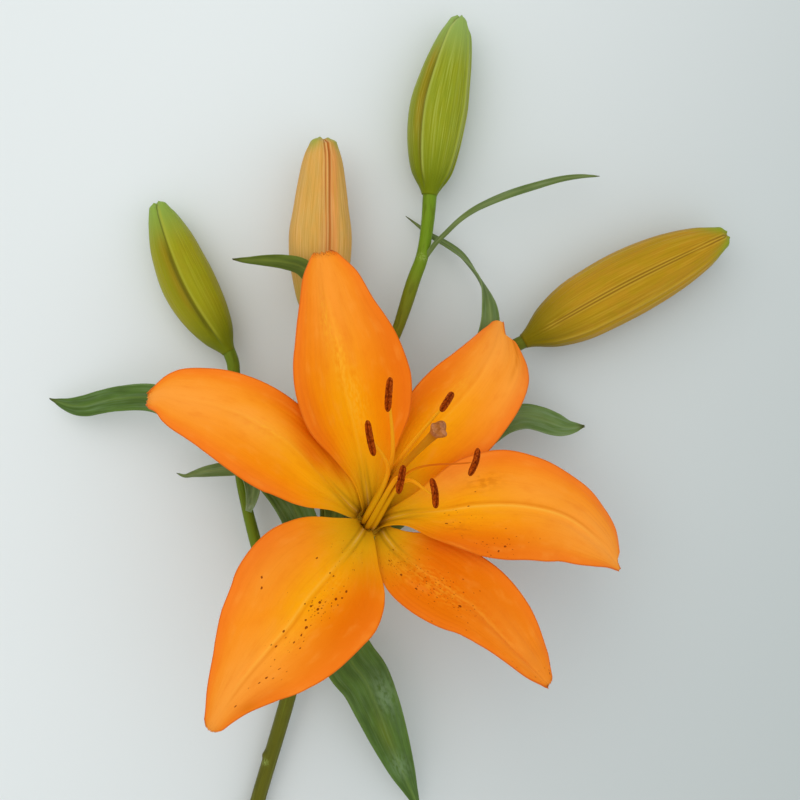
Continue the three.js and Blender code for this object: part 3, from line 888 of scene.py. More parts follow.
@dataclass
class Blade(ABC):
    """A thin blade that grows along a spine, cupped and rippled across it.

    Shares run along it, from 0 at its foot to 1 at its tip. Sides run across it, from -1 at its right
    edge to 1 at its left.
    """

    name: str
    spine: Sequence[Point]
    cup: Sequence[float]  # how far each half bends up from the rib to the edge, in degrees
    ripple: tuple[float, float, float]  # of its edges: how high, how many, and how far on the first begins

    COLUMNS: ClassVar[int]
    ROWS = 130
    CROWDING = 0.45  # how much closer together the columns are by the edges
    FLAT = 1e-4  # the least bend that is counted, in radians
    LAG = 0.31  # how far the ripples of the right edge are ahead of the left one's
    RIB = 1.0  # thickness at the rib
    EDGE = 0.5  # thickness by the edge
    ROUND = 0.34  # how far in from the rim the edge is rounded
    BLUNT = 0.02  # how much of the thickness the rim keeps, squared

    @abstractmethod
    def across(self, headings: Array, shares: Array) -> Array:
        """The unit direction of the blade's left side, for each heading of the spine."""

    @abstractmethod
    def halves(self, shares: Array, sides: Array) -> Array:
        """The half width on the side of the rib that each place is on."""

    @abstractmethod
    def relief(self, shares: Array, sides: Array, halves: Array) -> tuple[Array, Array]:
        """How far fine ribs stand out of the front and of the back."""

    @abstractmethod
    def paint(self, shares: Array, sides: Array, halves: Array) -> dict[str, Array]:
        """The numbers that the finish reads, on the front."""

    @abstractmethod
    def route(self) -> Path:
        """The blade's spine in the layout."""

    def groove(self, shares: Array, sides: Array) -> Array:
        """How far the middle sinks along the rib."""
        return np.zeros_like(shares)

    def ragged(self, shares: Array, sides: Array) -> Array:
        """How far the blade's end is pushed along it, to be less even."""
        return np.zeros_like(shares)

    def middle(self, t: Array, q: Array) -> tuple[Array, Array]:
        """The middle of the blade's thickness.

        Args:
            t: the share of each row.
            q: the side of each column.

        Returns:
            The points, as rows by columns by 3, and the half widths.
        """
        path = self.route()
        heading = path.heading(t)
        side = self.across(heading, t)
        up = np.cross(heading, side)
        share, place = np.meshgrid(t, q, indexing="ij")
        half = self.halves(share, place)
        arc = np.radians(along(self.cup, t))[:, None]
        arc = np.where(np.abs(arc) < self.FLAT, self.FLAT, arc)
        size, turns, start = self.ripple
        ripples = turns * share + start + np.where(place < 0, self.LAG, 0.0)
        wave = size * np.minimum(1, 3 * share) * np.sin(2 * np.pi * ripples)
        lift = half * (1 - np.cos(place * arc)) / arc + wave * np.abs(place) ** 3 - self.groove(share, place)
        points = path.at(t)[:, None] + side[:, None] * (half * np.sin(place * arc) / arc)[..., None]
        return points + up[:, None] * lift[..., None], half

    def skin(self) -> Skin:
        """Builds the closed blade, with a front, a back and a rounded edge.

        Returns:
            Its skin.
        """
        path = self.route()
        t = np.linspace(0, 1, self.ROWS + 1)
        even = np.linspace(-1, 1, self.COLUMNS + 1)
        q = (1 - self.CROWDING) * even + self.CROWDING * np.sin(even * np.pi / 2)
        middle, half = self.middle(t, q)
        share, place = np.meshgrid(t, q, indexing="ij")
        middle = middle + self.ragged(share, place)[..., None] * path.heading(t)[:, None]
        normal = unit(np.cross(np.gradient(middle, t, axis=0), np.gradient(middle, q, axis=1)))
        inwards = np.minimum((1 - np.abs(place)) * half, (1 - share) * path.length) / self.ROUND
        rounding = np.sqrt(np.clip(1 - (1 - np.minimum(inwards, 1)) ** 2, self.BLUNT, 1))
        thick = rounding * (self.RIB + (self.EDGE - self.RIB) * np.abs(place)) / 2
        front_relief, back_relief = self.relief(share, place, half)
        front = middle + normal * (thick + rounding * front_relief)[..., None]
        back = middle - normal * (thick + rounding * back_relief)[..., None]
        rows, columns = share.shape
        under = rows * columns
        faces = quads(rows, columns, flip=True) + quads(rows, columns, first=under)
        faces += self._rim(rows, columns, under)
        numbers = {k: np.concatenate([v.ravel()] * 2) for k, v in self.paint(share, place, half).items()}
        numbers["back"] = np.repeat([0.0, 1.0], under)
        width = half.max()
        grain = np.stack([place * width, np.zeros_like(place), share * path.length], -1).reshape(-1, 3)
        behind = grain + np.array([0.0, 4 * width, 0.0])
        points = np.vstack([front.reshape(-1, 3), back.reshape(-1, 3)])
        return Skin(points, faces, numbers, np.vstack([grain, behind]))

    def _rim(self, rows: int, columns: int, under: int) -> Faces:
        """Joins the front's border to the back's.

        Args:
            rows: how many rows of points the front has.
            columns: how many points are in a row.
            under: the number of the back's first point.

        Returns:
            The faces of the rim.
        """
        last = (rows - 1) * columns
        border = [*range(columns - 1), *range(columns - 1, last + columns - 1, columns)]
        border += [*range(last + columns - 1, last, -1), *range(last, 0, -columns)]
        return [(a, b, b + under, a + under) for a, b in zip(border, border[1:] + border[:1])]


@dataclass(frozen=True)
class Bloom:
    """The bloom's own frame. Its axis leans from straight up towards the buds."""

    centre: Point = (-10.5, -41.0, 26.0)
    lean: float = 17.0  # of its axis, in degrees
    towards: float = 58.0  # the direction it leans in, in degrees
    straight: float = 8.0  # how far the filaments and the style rise side by side
    parting: Point = (-0.4, -22.6, 50.0)  # where they part
    spread: float = 1.6  # how much further apart they are there

    @property
    def axis(self) -> Array:
        """The way that the bloom faces.

        Returns:
            The unit direction.
        """
        lean, towards = math.radians(self.lean), math.radians(self.towards)
        flat = math.sin(lean)
        return np.array([flat * math.cos(towards), flat * math.sin(towards), math.cos(lean)])

    def outwards(self, azimuth: float) -> Array:
        """The unit direction square to the axis at an azimuth, in degrees."""
        east = unit(np.array([1.0, 0.0, 0.0]) - self.axis[0] * self.axis)
        return turned(east, self.axis, math.radians(azimuth))

    def point(self, azimuth: float, out: float, aside: float, height: float) -> Point:
        """A point out from the axis along an azimuth, to the left of that, and up the axis."""
        place = np.array(self.centre) + self.outwards(azimuth) * out + self.outwards(azimuth + 90) * aside
        return tuple(place + self.axis * height)

    def bundle(self, place: float, radius: float, end: Point) -> Path:
        """The path of a filament or the style.

        Args:
            place: its place in the bundle, in degrees.
            radius: how far it is from the bundle's middle.
            end: where it ends.

        Returns:
            Its path from the receptacle.
        """
        parting = np.array(self.parting) + self.outwards(place) * self.spread * radius
        rise = [self.point(place, radius, 0.0, height) for height in (0.6, self.straight)]
        return Path([*rise, tuple(parting), end])


BLOOM = Bloom()


@dataclass
class Petal(Blade):
    """A petal of the bloom. Its spine's points are out from the bloom's axis, aside, and up the axis."""

    azimuth: float  # the side of the bloom that it is on, in degrees
    right: Sequence[float]  # the half widths to the right of its rib
    left: Sequence[float]  # and to the left
    crease: float  # how deep the channel along its rib is
    glow: float = 0.85  # how yellow it is by the rib
    pallor: float = 0.85  # how pale its outer half is
    rib: float = 0.5  # how strongly the rib shows
    ruffle: float = 0.0  # how ragged the tip is
    bulge: float = 0.0  # how far the tip's end is rounded out
    notches: tuple[float, float] = (2.0, 2.0)  # where its sides are cut in to a beak; past 1, nowhere
    # patches of deeper orange, some of them painted shade beside a neighbour's edge or on a side that curves
    # away
    deeps_and_shades: Sequence[Patch] = ()
    pales: Sequence[Patch] = ()
    smudges: Sequence[Patch] = ()
    freckles: Sequence[Patch] = ()
    specks: Sequence[Patch] = ()
    flecks: Sequence[Patch] = ()
    # painted shade in folds and under a neighbouring petal's edge
    shade_creases: Sequence[Patch] = ()

    COLUMNS = 84
    ROUNDED = 0.3  # how much narrower its end is, past where the rounding begins
    CUT = 0.64  # how much of the width a notch takes
    CUT_REACH = 0.005  # half the share of the length over which it does
    TIP = 0.965  # the share of the length where the tip begins

    def route(self) -> Path:
        """The spine in the layout."""
        return Path([BLOOM.point(self.azimuth, *place) for place in self.spine])

    def across(self, headings: Array, shares: Array) -> Array:
        """The left side: square to the spine, and as near as can be to the bloom's own left."""
        left = BLOOM.outwards(self.azimuth + 90)
        return unit(left - headings * (headings @ left)[:, None])

    def halves(self, shares: Array, sides: Array) -> Array:
        """The half width, which differs on the two sides of the rib.

        Args:
            shares: how far along each place is.
            sides: how far across it is.

        Returns:
            The half width on its side.
        """
        past_notch = shares - np.where(sides < 0, *self.notches)
        corner = 1 - self.ROUNDED * smoothstep(0.975, 1.0, shares) ** 2
        corner = corner * (1 - self.CUT * smoothstep(-self.CUT_REACH, self.CUT_REACH, past_notch))
        return corner * np.where(sides < 0, along(self.right, shares), along(self.left, shares))

    def ragged(self, shares: Array, sides: Array) -> Array:
        """Small teeth at the tip.

        Args:
            shares: how far along each place is.
            sides: how far across it is.

        Returns:
            How far each place is pushed along.
        """
        teeth = np.sin(13 * sides + self.azimuth) + np.sin(31 * sides) + np.sin(57 * sides)
        push = 0.3 * self.ruffle * (teeth - 1.6) + self.bulge * (1 - sides**2)
        return push * smoothstep(self.TIP, 1.0, shares)

    def groove(self, shares: Array, sides: Array) -> Array:
        """A channel along the rib, which runs out before both ends."""
        return self.crease * swell(sides, 0.16) * np.minimum(1, np.minimum(4 * shares, 6 * (1 - shares)))

    def relief(self, shares: Array, sides: Array, halves: Array) -> tuple[Array, Array]:
        """A raised rib between two furrows in front, a keel behind, and veins and buckles on both faces.

        Args:
            shares: how far along each place is.
            sides: how far across it is.
            halves: the half width there.

        Returns:
            The front's relief and the back's.
        """
        x = sides * halves
        body = smoothstep(0.08, 0.2, shares) * smoothstep(0.99, 0.75, shares)
        rib = body * (0.1 + 0.9 * self.rib) * (0.42 * swell(x, 0.65) - 0.34 * swell(np.abs(x) - 1.7, 0.7))
        veins = 0.04 * body * smoothstep(0.1, 0.3, np.abs(sides)) * smoothstep(0.15, 0.45, shares)
        veins = veins * np.sin(2 * np.pi * 9.0 * np.abs(sides) ** 0.9)
        phase = math.radians(self.azimuth)
        sway = np.sin(9 * shares + 5 * sides + phase) * np.sin(5 * shares - 7 * sides + 2 * phase)
        folds = np.sin(11 * sides + 6 * shares + 3 * phase) * np.sin(7 * shares + phase)
        buckle = body * (1 - sides**2) * (0.3 * sway + 0.14 * folds)
        keel = 0.5 * swell(x, 1.3) * smoothstep(0.02, 0.2, shares) * smoothstep(1.0, 0.6, shares)
        return rib + veins + buckle, keel + veins - buckle

    def paint(self, shares: Array, sides: Array, halves: Array) -> dict[str, Array]:
        """Where the petal glows, pales, blushes, and is olive, furrowed, smudged or freckled, and where shade
        and highlight are painted.

        Args:
            shares: how far along each place is.
            sides: how far across it is.
            halves: the half width there.

        Returns:
            The numbers that the petals' finish reads.
        """
        x, far = np.abs(sides) * halves, np.abs(sides)
        lit = smoothstep(0.12, 0.25, shares) * smoothstep(0.96, 0.6, shares)
        claw = smoothstep(0.02, 0.06, shares)
        # deeper orange, partly painted shade from neighbouring petals and curving sides
        deep = painted(self.deeps_and_shades, shares, sides)
        shade = self.rib * smoothstep(0.26, 0.36, shares) * smoothstep(0.96, 0.75, shares)
        shade = shade * swell(sides * halves - 1.2, 0.4)
        outer = self.pallor * smoothstep(0.45, 0.85, shares) * swell(far, 0.7)
        return {
            "glow": self.glow * swell(x, 2.5 + 9.0 * (1 - shares)) * smoothstep(0.9, 0.4, shares),
            "deep": deep,
            # painted shade in the furrows beside the rib, in folds and under a neighbour's edge
            "crease": np.maximum(shade, painted(self.shade_creases, shares, sides)),
            "fleck": painted(self.flecks, shares, sides),
            # a paler rib, also a painted highlight on the raised rib
            "line": self.rib * swell(x, 0.45) * lit,
            "pale": np.maximum(outer, painted(self.pales, shares, sides)),
            # painted shade on the rounded edge
            "rim": 0.6 * smoothstep(0.6, 0.15, (1 - far) * halves) * smoothstep(0.2, 0.4, shares),
            "blush": 0.75 * smoothstep(0.55, 1.0, far) * smoothstep(0.25, 0.45, shares) * (1 - 0.7 * deep),
            "throat": smoothstep(0.4, 0.1, shares + 0.06 * far),
            "furrow": 0.5 * swell(x - 1.3, 0.4) * claw * smoothstep(0.32, 0.16, shares),
            "ridge": 0.55 * swell(x, 0.4) * claw * smoothstep(0.22, 0.12, shares),
            "smudge": painted(self.smudges, shares, sides),
            "freckle": painted(self.freckles, shares, sides),
            "speck": painted(self.specks, shares, sides),
            "scorch": 0.7 * self.ruffle * smoothstep(self.TIP, 0.998, shares),
        }


@dataclass
class Leaf(Blade):
    """A narrow leaf or bract, as wide on both sides of its rib, which may roll about its spine."""

    width: Sequence[float]  # its half widths
    roll: Sequence[float] = (0.0, 0.0)  # how far it is turned about its spine, in degrees
    haze_and_sheen: float = 0.6  # how much dull bloom, also painted sheen, lies on it
    finish: Green = Green.FRESH
    wisps: Sequence[Patch] = ()  # where the bloom lies thicker, partly as painted sheen
    olives: Sequence[Patch] = ()

    COLUMNS = 28
    RIB = 1.05

    def route(self) -> Path:
        """The spine in the layout."""
        return Path(self.spine)

    def across(self, headings: Array, shares: Array) -> Array:
        """The left side: level, then rolled about the spine."""
        level = unit(np.cross(UP, headings))
        return turned(level, headings, np.radians(along(self.roll, shares))[:, None])

    def halves(self, shares: Array, sides: Array) -> Array:
        """The half width, the same on both sides, drawn in to a point."""
        return along(self.width, shares) * (1 - 0.6 * smoothstep(0.97, 1.0, shares))

    def relief(self, shares: Array, sides: Array, halves: Array) -> tuple[Array, Array]:
        """A fine groove on the midrib in front, a keel behind, and veins and folds on both faces.

        Args:
            shares: how far along each place is.
            sides: how far across it is.
            halves: the half width there.

        Returns:
            The front's relief and the back's.
        """
        x = sides * halves
        fade = smoothstep(0.0, 0.08, shares) * smoothstep(1.0, 0.85, shares)
        veins = 0.05 * fade * np.cos(2 * np.pi * 4.5 * sides) * smoothstep(0.12, 0.3, np.abs(sides))
        start = self.spine[0][0]
        folds = np.sin(26 * shares + 2.5 * sides + start) * np.sin(3.2 * sides + 17 * shares + start)
        folds = 0.2 * fade * folds * (1 - sides**2)
        return veins + folds - 0.25 * fade * swell(x, 0.45), 0.35 * fade * swell(x, 0.7) + veins - folds

    def paint(self, shares: Array, sides: Array, halves: Array) -> dict[str, Array]:
        """Where the midrib, the rim and the point are, and how much bloom and painted sheen lie on the leaf.

        Args:
            shares: how far along each place is.
            sides: how far across it is.
            halves: the half width there.

        Returns:
            The numbers that the leaves' finish reads.
        """
        return {
            "midrib": swell(sides * halves, 0.5),
            "rim": smoothstep(0.86, 1.0, np.abs(sides)),
            "point": 0.8 * smoothstep(0.965, 1.0, shares),
            "haze_and_sheen": np.full_like(shares, self.haze_and_sheen),
            "wisp": painted(self.wisps, shares, sides),
            "olive": painted(self.olives, shares, sides),
        }


# ---- Round pieces ----


@dataclass
class Tube(ABC):
    """A round piece along a path. Its rings start level and to the left, and turn upwards.

    Shares run along it, from 0 at its start to 1 at its end. Angles run round it, in radians.
    """

    name: str

    ROWS: ClassVar[int]
    SIDES: ClassVar[int]
    GIRTH: ClassVar[float] = 3.0  # a typical radius, for the scale of the grain

    @abstractmethod
    def route(self) -> Path:
        """The line through the piece's middle."""

    @abstractmethod
    def form(self, share: Array, angle: Array) -> tuple[Array, Array]:
        """How far the skin stands out at a share and an angle, and how far it is pushed along."""

    @abstractmethod
    def paint(self, share: Array, angle: Array) -> dict[str, Array]:
        """The numbers that the finish reads."""

    def reference(self) -> Array:
        """The direction that the rings count as up."""
        return UP

    def shares(self) -> Array:
        """The shares of the length that have a ring."""
        return np.linspace(0, 1, self.ROWS + 1)

    def skin(self) -> Skin:
        """Builds the closed piece.

        Returns:
            Its skin.
        """
        path, t = self.route(), self.shares()
        angle = np.arange(self.SIDES) * 2 * np.pi / self.SIDES
        heading = path.heading(t)
        level = unit(np.cross(self.reference(), heading))
        upwards = np.cross(heading, level)
        share, turn = np.meshgrid(t, angle, indexing="ij")
        out, push = self.form(share, turn)
        rings = path.at(t)[:, None] + heading[:, None] * push[..., None]
        rings = rings + level[:, None] * (out * np.cos(turn))[..., None]
        rings = rings + upwards[:, None] * (out * np.sin(turn))[..., None]
        grain = np.stack([np.cos(turn) * self.GIRTH, np.sin(turn) * self.GIRTH, share * path.length], -1)
        return round_skin(rings, self.paint(share, turn), grain)


@dataclass
class Bud(Tube):
    """Three petals closed edge to edge: a seam between each two, and tips that stand apart."""

    spine: Sequence[Point]
    radius: float
    turn: float  # how far its seams are turned round it, in degrees
    outline: Sequence[float]  # its radii, as shares of the largest
    finish: Husk
    gape: float = 0.0  # how wide the folds at its seams are, if they stand open
    lap: float = 0.0  # how far one petal laps over the next
    groove: float = 0.0  # how dark the painted shade in the hollow beside a lapped seam is
    crack: float = 0.0  # how deep the crack past the folds of an open seam is, and how dark the painted shade in and beside it is
    edge: float = 0.0  # where round it an edge shows between two seams, in degrees, if one does
    keel: float = 0.5  # how strongly the middle of each petal stands out
    green: float = 0.8  # the share of its length where the tips turn green

    ROWS = 130
    SIDES = 132
    GIRTH = 9.0
    SURFACE = 0.0
    FAR_OFF = 99.0

    def route(self) -> Path:
        """The spine from the stalk to the tip."""
        return Path(self.spine)

    def reference(self) -> Array:
        """Straight up, turned about the bud so that its seams lie where they grew.

        Returns:
            The unit direction.
        """
        heading = self.route().heading(np.zeros(1))[0]
        turn = math.radians(self.turn)
        level = np.cross(heading, UP)
        return UP * math.cos(turn) + level * math.sin(turn) + heading * (heading @ UP) * (1 - math.cos(turn))

    def _places(self, share: Array, angle: Array) -> tuple[Array, Array]:
        """Measures round the bud, from its petals' middles and its seams.

        Args:
            share: how far along each point is.
            angle: how far round it is.

        Returns:
            How far it is from its petal's middle, and how far past the nearest seam.
        """
        out = self.radius * along(self.outline, share)
        past = angle % (2 * np.pi / 3) - np.pi / 3
        return (np.pi / 3 - np.abs(past)) * out, past * out

    def _past_edge(self, share: Array, angle: Array) -> Array:
        """Measures round the bud, from the petal edge that shows between two seams.

        Args:
            share: how far along each point is.
            angle: how far round it is.

        Returns:
            How far it is past that edge, or far off if no edge shows.
        """
        if not self.edge:
            return np.full_like(share, self.FAR_OFF)
        return (angle - math.radians(self.edge)) * self.radius * along(self.outline, share)

    def _folds(self, past: Array) -> Array:
        """Parallel folds beside a seam that gapes.

        Args:
            past: how far each point is past the seam.

        Returns:
            1 on a crest, -1 in a furrow, and 0 away from the folds.
        """
        if not self.gape:
            return np.zeros_like(past)
        return np.cos(2 * np.pi * past / self.gape) * swell(past, 1.5 * self.gape)

    def form(self, share: Array, angle: Array) -> tuple[Array, Array]:
        """The outline, with a seam between two raised lips, a keel on each petal, and fine ribs.

        Args:
            share: how far along each point is.
            angle: how far round it is.

        Returns:
            How far it stands out, and how far it is pushed along.
        """
        lobe = np.cos(3 * angle)
        tip = smoothstep(0.9, 1.0, share)
        belly = np.sqrt(np.sin(np.pi * np.minimum(share, 0.97)))
        lobes = 1 + 0.015 * lobe - swell(1 + lobe, 0.3) * (0.07 * belly + 0.2 * tip)
        to_keel, past = self._places(share, angle)
        rim = self._past_edge(share, angle)
        lapped = 0.6 * smoothstep(-0.4, 0.3, past) * swell(past, 2.5) - 0.3 * swell(past + 0.9, 0.8)
        lips = 0.2 * self._folds(past) + self.lap * lapped - 0.4 * self.crack * swell(past - 0.8, 0.4)
        lips = lips + 0.3 * swell(rim, 0.5) - 0.15 * swell(rim + 1.0, 0.5)
        keel = self.keel * (0.4 * swell(to_keel, 0.8) - 0.25 * swell(to_keel - 1.8, 0.8))
        fine = np.cos(39 * angle + 3 * share) + 0.8 * np.cos(60 * angle - 4 * share)
        fine = 0.05 * fine * smoothstep(0.8, 2.5, np.abs(past))
        fade = smoothstep(0.0, 0.1, share) * smoothstep(1.0, 0.92, share)
        dome = 1 - 0.6 * smoothstep(0.97, 1.0, share) ** 2
        out = self.radius * along(self.outline, share) * lobes
        return (out + fade * (lips + keel + fine)) * dome, tip * (0.6 * lobe - 0.6)

    def paint(self, share: Array, angle: Array) -> dict[str, Array]:
        """Where the seams, the lips, the keels and both ends are, and the painted shade and highlights round
        the seams.

        Args:
            share: how far along each point is.
            angle: how far round it is.

        Returns:
            The numbers that the buds' finish reads.
        """
        to_keel, past = self._places(share, angle)
        body = smoothstep(0.04, 0.16, share)
        above = smoothstep(0.2, 0.8, np.sin(angle))
        # painted shade on the bud's upper left, on the side of a lapped seam that lies under the next petal
        under = self.lap * smoothstep(0.2, -0.2, past) * above * smoothstep(-0.1, 0.3, np.cos(angle))
        # the folds' furrows get painted shade and their crests a painted highlight
        folds = self._folds(past) * body
        line = 0.75 * self.lap * swell(past + 0.2, 0.3) * body * (0.3 + 0.7 * above)
        # painted shade in the hollow beside a lapped seam
        hollow_shade = smoothstep(0.06, 0.25, share) * smoothstep(0.8, 0.6, share) * swell(past + 0.9, 0.6)
        hollow_shade = self.groove * hollow_shade * under
        # painted shade in the crack of an open seam
        crack = self.crack * swell(past - 0.85, 0.42) * body * above
        margin = smoothstep(0.05, 0.2, share) * smoothstep(0.9, 0.7, share)
        margin = margin * swell(self._past_edge(share, angle), 0.5)
        lapped = 0.6 * self.lap * swell(past - 0.7, 0.4) * body
        middle = smoothstep(0.2, 0.45, share) * smoothstep(0.9, 0.7, share)
        # a warm tint by open seams, and painted shade to the right of an open seam's crack
        glow = 0.7 * self.crack * swell(past - 2.6, 1.4) * above + 0.5 * swell(past, 2.6) * (1 - self.lap)
        across = 1.0 if self.lap else swell(to_keel, 3.2)
        return {
            # the seam's own colour, and painted shade in the folds' furrows, the hollow and the crack
            "seam": np.max([0.8 * smoothstep(0.15, 0.9, -folds), line, hollow_shade, crack], axis=0),
            # paler lips, and a painted highlight on the folds' crests, the lapped edge and the edge between
            # seams
            "lips": np.max([0.6 * smoothstep(0.15, 0.9, folds), lapped, 0.5 * margin], axis=0),
            # a warm tint, laid partly on the painted shade of the lapped side and right of an open crack
            "warm": 0.75 * swell(past + 2.0, 1.7) * middle * under + glow,
            # painted shade on the side under a lapped seam
            "shade": 0.75 * under,
            "keel": self.keel * swell(to_keel, 0.4) * body,
            "foot": smoothstep(0.34, 0.0, share),
            "tip": smoothstep(self.green, 1.0, share) * across,
        }

    def skin(self) -> Skin:
        """Builds the bud and flattens it where it rests on the surface.

        Returns:
            Its skin.
        """
        made = super().skin()
        made.points[:, 2] = np.maximum(made.points[:, 2], self.SURFACE)
        return made


@dataclass
class Filament(Tube):
    """A stamen's filament, from the receptacle to its anther's back."""

    path: Path
    thread: Thread

    ROWS = 70
    SIDES = 14
    GIRTH = 0.55

    def route(self) -> Path:
        """The filament's path."""
        return self.path

    def reference(self) -> Array:
        """The bloom's own east, which no filament runs along."""
        return BLOOM.outwards(0.0)

    def form(self, share: Array, angle: Array) -> tuple[Array, Array]:
        """A taper, drawn to a point where it meets the anther."""
        end = np.sqrt(np.clip(1 - smoothstep(0.965, 1.0, share), 0.03, 1))
        return along(self.thread.radii, share) * end, np.zeros_like(share)

    def paint(self, share: Array, angle: Array) -> dict[str, Array]:
        """How far along the filament each point is."""
        return {"share": share}


@dataclass
class Stamen:
    """A filament and the anther that hangs on its tip."""

    number: int
    place: float  # its filament's place in the bundle, in degrees
    middle: Point  # of its anther
    heading: float  # the direction that the anther points in, in degrees
    droop: float  # how far it points down, in degrees
    thread: Thread = Thread.YELLOW

    RING = 2.15  # how far the filaments are from the bundle's middle
    HALF_DEPTH = 0.95  # of an anther
    GAP = 0.45  # from the filament's end to the anther's back

    def axis(self) -> Array:
        """The way that the anther points.

        Returns:
            The unit direction.
        """
        heading, droop = math.radians(self.heading), math.radians(self.droop)
        flat = math.cos(droop)
        return np.array([flat * math.cos(heading), flat * math.sin(heading), -math.sin(droop)])

    def facing(self) -> Array:
        """The unit direction that the anther's face looks in."""
        onwards = np.array(self.middle) - np.array(BLOOM.parting)
        return unit(onwards - self.axis() * (onwards @ self.axis()))

    def filament(self) -> Filament:
        """Lays the filament from the bloom's foot to the anther's back.

        Returns:
            The filament.
        """
        end = np.array(self.middle) - self.facing() * (self.HALF_DEPTH + self.GAP)
        path = BLOOM.bundle(self.place, self.RING, tuple(end))
        return Filament(f"filament_{self.number}", path, self.thread)

    def anther(self) -> "Anther":
        """The stamen's anther."""
        return Anther(f"anther_{self.number}", self)


@dataclass
class Anther(Tube):
    """Two sacs of pollen side by side, bowed back, with a groove down the face between them."""

    stamen: Stamen

    ROWS = 64
    SIDES = 48
    GIRTH = 1.0
    LENGTH = 11.0
    HALF_WIDTH = 1.1
    BOW = 0.7
    OUTLINE = (0.66, 0.9, 0.98, 1.0, 1.0, 0.99, 0.96, 0.88, 0.6)  # its radii, as shares of the largest

    def route(self) -> Path:
        """The anther's bowed middle line.

        Returns:
            Its path.
        """
        middle, axis, facing = np.array(self.stamen.middle), self.stamen.axis(), self.stamen.facing()
        ends = [middle + axis * share * self.LENGTH - facing * self.BOW for share in (-0.5, 0.5)]
        return Path([tuple(ends[0]), tuple(middle), tuple(ends[1])])

    def reference(self) -> Array:
        """The way the face looks."""
        return self.stamen.facing()

    def shares(self) -> Array:
        """Rings closer together at both ends, which are round."""
        return (1 - np.cos(np.linspace(0, np.pi, self.ROWS + 1))) / 2

    def form(self, share: Array, angle: Array) -> tuple[Array, Array]:
        """An oval section with grooves in front and behind, covered in grains.

        Args:
            share: how far along each point is.
            angle: how far round it is.

        Returns:
            How far it stands out, and how far it is pushed along.
        """
        across = np.hypot(np.cos(angle) / self.HALF_WIDTH, np.sin(angle) / Stamen.HALF_DEPTH)
        groove = 0.28 * swell(angle - np.pi / 2, 0.34) + 0.16 * swell(angle - 3 * np.pi / 2, 0.3)
        ends = np.clip(1 - np.abs(2 * share - 1) ** 14, 0.02, 1) ** 0.5
        grains = np.sin(23 * angle + 90 * share) * np.sin(17 * angle - 130 * share + self.stamen.number)
        out = along(self.OUTLINE, share) * (1 / across - groove) + 0.04 * grains
        return out * ends, np.zeros_like(share)

    def paint(self, share: Array, angle: Array) -> dict[str, Array]:
        """Where the groove is."""
        inside = smoothstep(0.02, 0.12, share) * smoothstep(0.98, 0.88, share)
        return {"groove": 0.7 * swell(angle - np.pi / 2, 0.3) * inside}


@dataclass
class Pistil(Tube):
    """Ovary, style and three-lobed stigma, grown as one."""

    ROWS = 170
    SIDES = 60
    GIRTH = 1.2
    TIP = (12.6, -7.9, 70.4)
    THICKNESS = (  # its radii, each at its share of the length
        (0, 0.95), (0.06, 1.1), (0.2, 1.15), (0.27, 1.1), (0.4, 1.0), (0.6, 1.0), (0.75, 1.15),
        (0.88, 1.4), (0.93, 1.6), (0.955, 2.4), (0.975, 2.95), (0.99, 2.8), (1, 2.1),
    )
    EASE = 0.012  # how far before and after each share the thickness is averaged
    NECK = 0.9  # the share where the rings close up
    LOW_ROWS = 90  # how many rings are below it

    def route(self) -> Path:
        """The line up the middle of the bundle."""
        return BLOOM.bundle(0.0, 0.0, self.TIP)

    def reference(self) -> Array:
        """The bloom's own east."""
        return BLOOM.outwards(0.0)

    def shares(self) -> Array:
        """Rings close together on the stigma."""
        low = np.linspace(0, self.NECK, self.LOW_ROWS, endpoint=False)
        return np.concatenate([low, np.linspace(self.NECK, 1, self.ROWS + 1 - self.LOW_ROWS)])

    def form(self, share: Array, angle: Array) -> tuple[Array, Array]:
        """A taper with shallow ribs, then a head of three lobes with clefts between.

        Args:
            share: how far along each point is.
            angle: how far round it is.

        Returns:
            How far it stands out, and how far it is pushed along.
        """
        places, sizes = zip(*self.THICKNESS)
        thick = sum(np.interp(share + step, places, sizes) for step in (0.0, -self.EASE, self.EASE)) / 3
        head = smoothstep(0.93, 0.97, share)
        lobe = np.sin(3 * angle)
        ribs = 0.03 * np.cos(6 * angle) * smoothstep(0.3, 0.1, share)
        crown = np.sqrt(np.clip(1 - smoothstep(0.97, 1.0, share) ** 2, 0.2, 1))
        out = thick * (1 + (0.04 + 0.08 * head) * lobe + ribs) * crown
        return out - 0.04 * head * swell(lobe + 1, 0.2) * thick, 0.4 * head * lobe

    def paint(self, share: Array, angle: Array) -> dict[str, Array]:
        """How far along each point is, and where the stigma and its clefts are."""
        head = smoothstep(0.925, 0.955, share)
        return {"share": share, "stigma": head, "cleft": 0.4 * head * swell(np.sin(3 * angle) + 1, 0.1)}


# ---- The stem ----


@dataclass
class Stalk(Tube):
    """A round stalk whose radius changes along its length."""

    spine: Sequence[Point]
    radii: Sequence[float]
    youth: Sequence[float]  # how green it is, from its foot to its top
    gold: Sequence[float] = (0.0, 0.0)  # how golden brown it is
    reach: float = 1.3  # how far its end runs on into the bud

    ROWS = 90
    SIDES = 40

    def route(self) -> Path:
        """The stalk's path."""
        return Path(self.spine)

    def form(self, share: Array, angle: Array) -> tuple[Array, Array]:
        """A taper with faint lengthwise ribs."""
        ribs = 0.03 * np.cos(9 * angle + 2 * share) + 0.02 * np.cos(14 * angle - 3 * share)
        return along(self.radii, share) + ribs, self.reach * (share >= 1.0)

    def paint(self, share: Array, angle: Array) -> dict[str, Array]:
        """Nothing: the whole stem is painted once its stalks are joined."""
        return {}


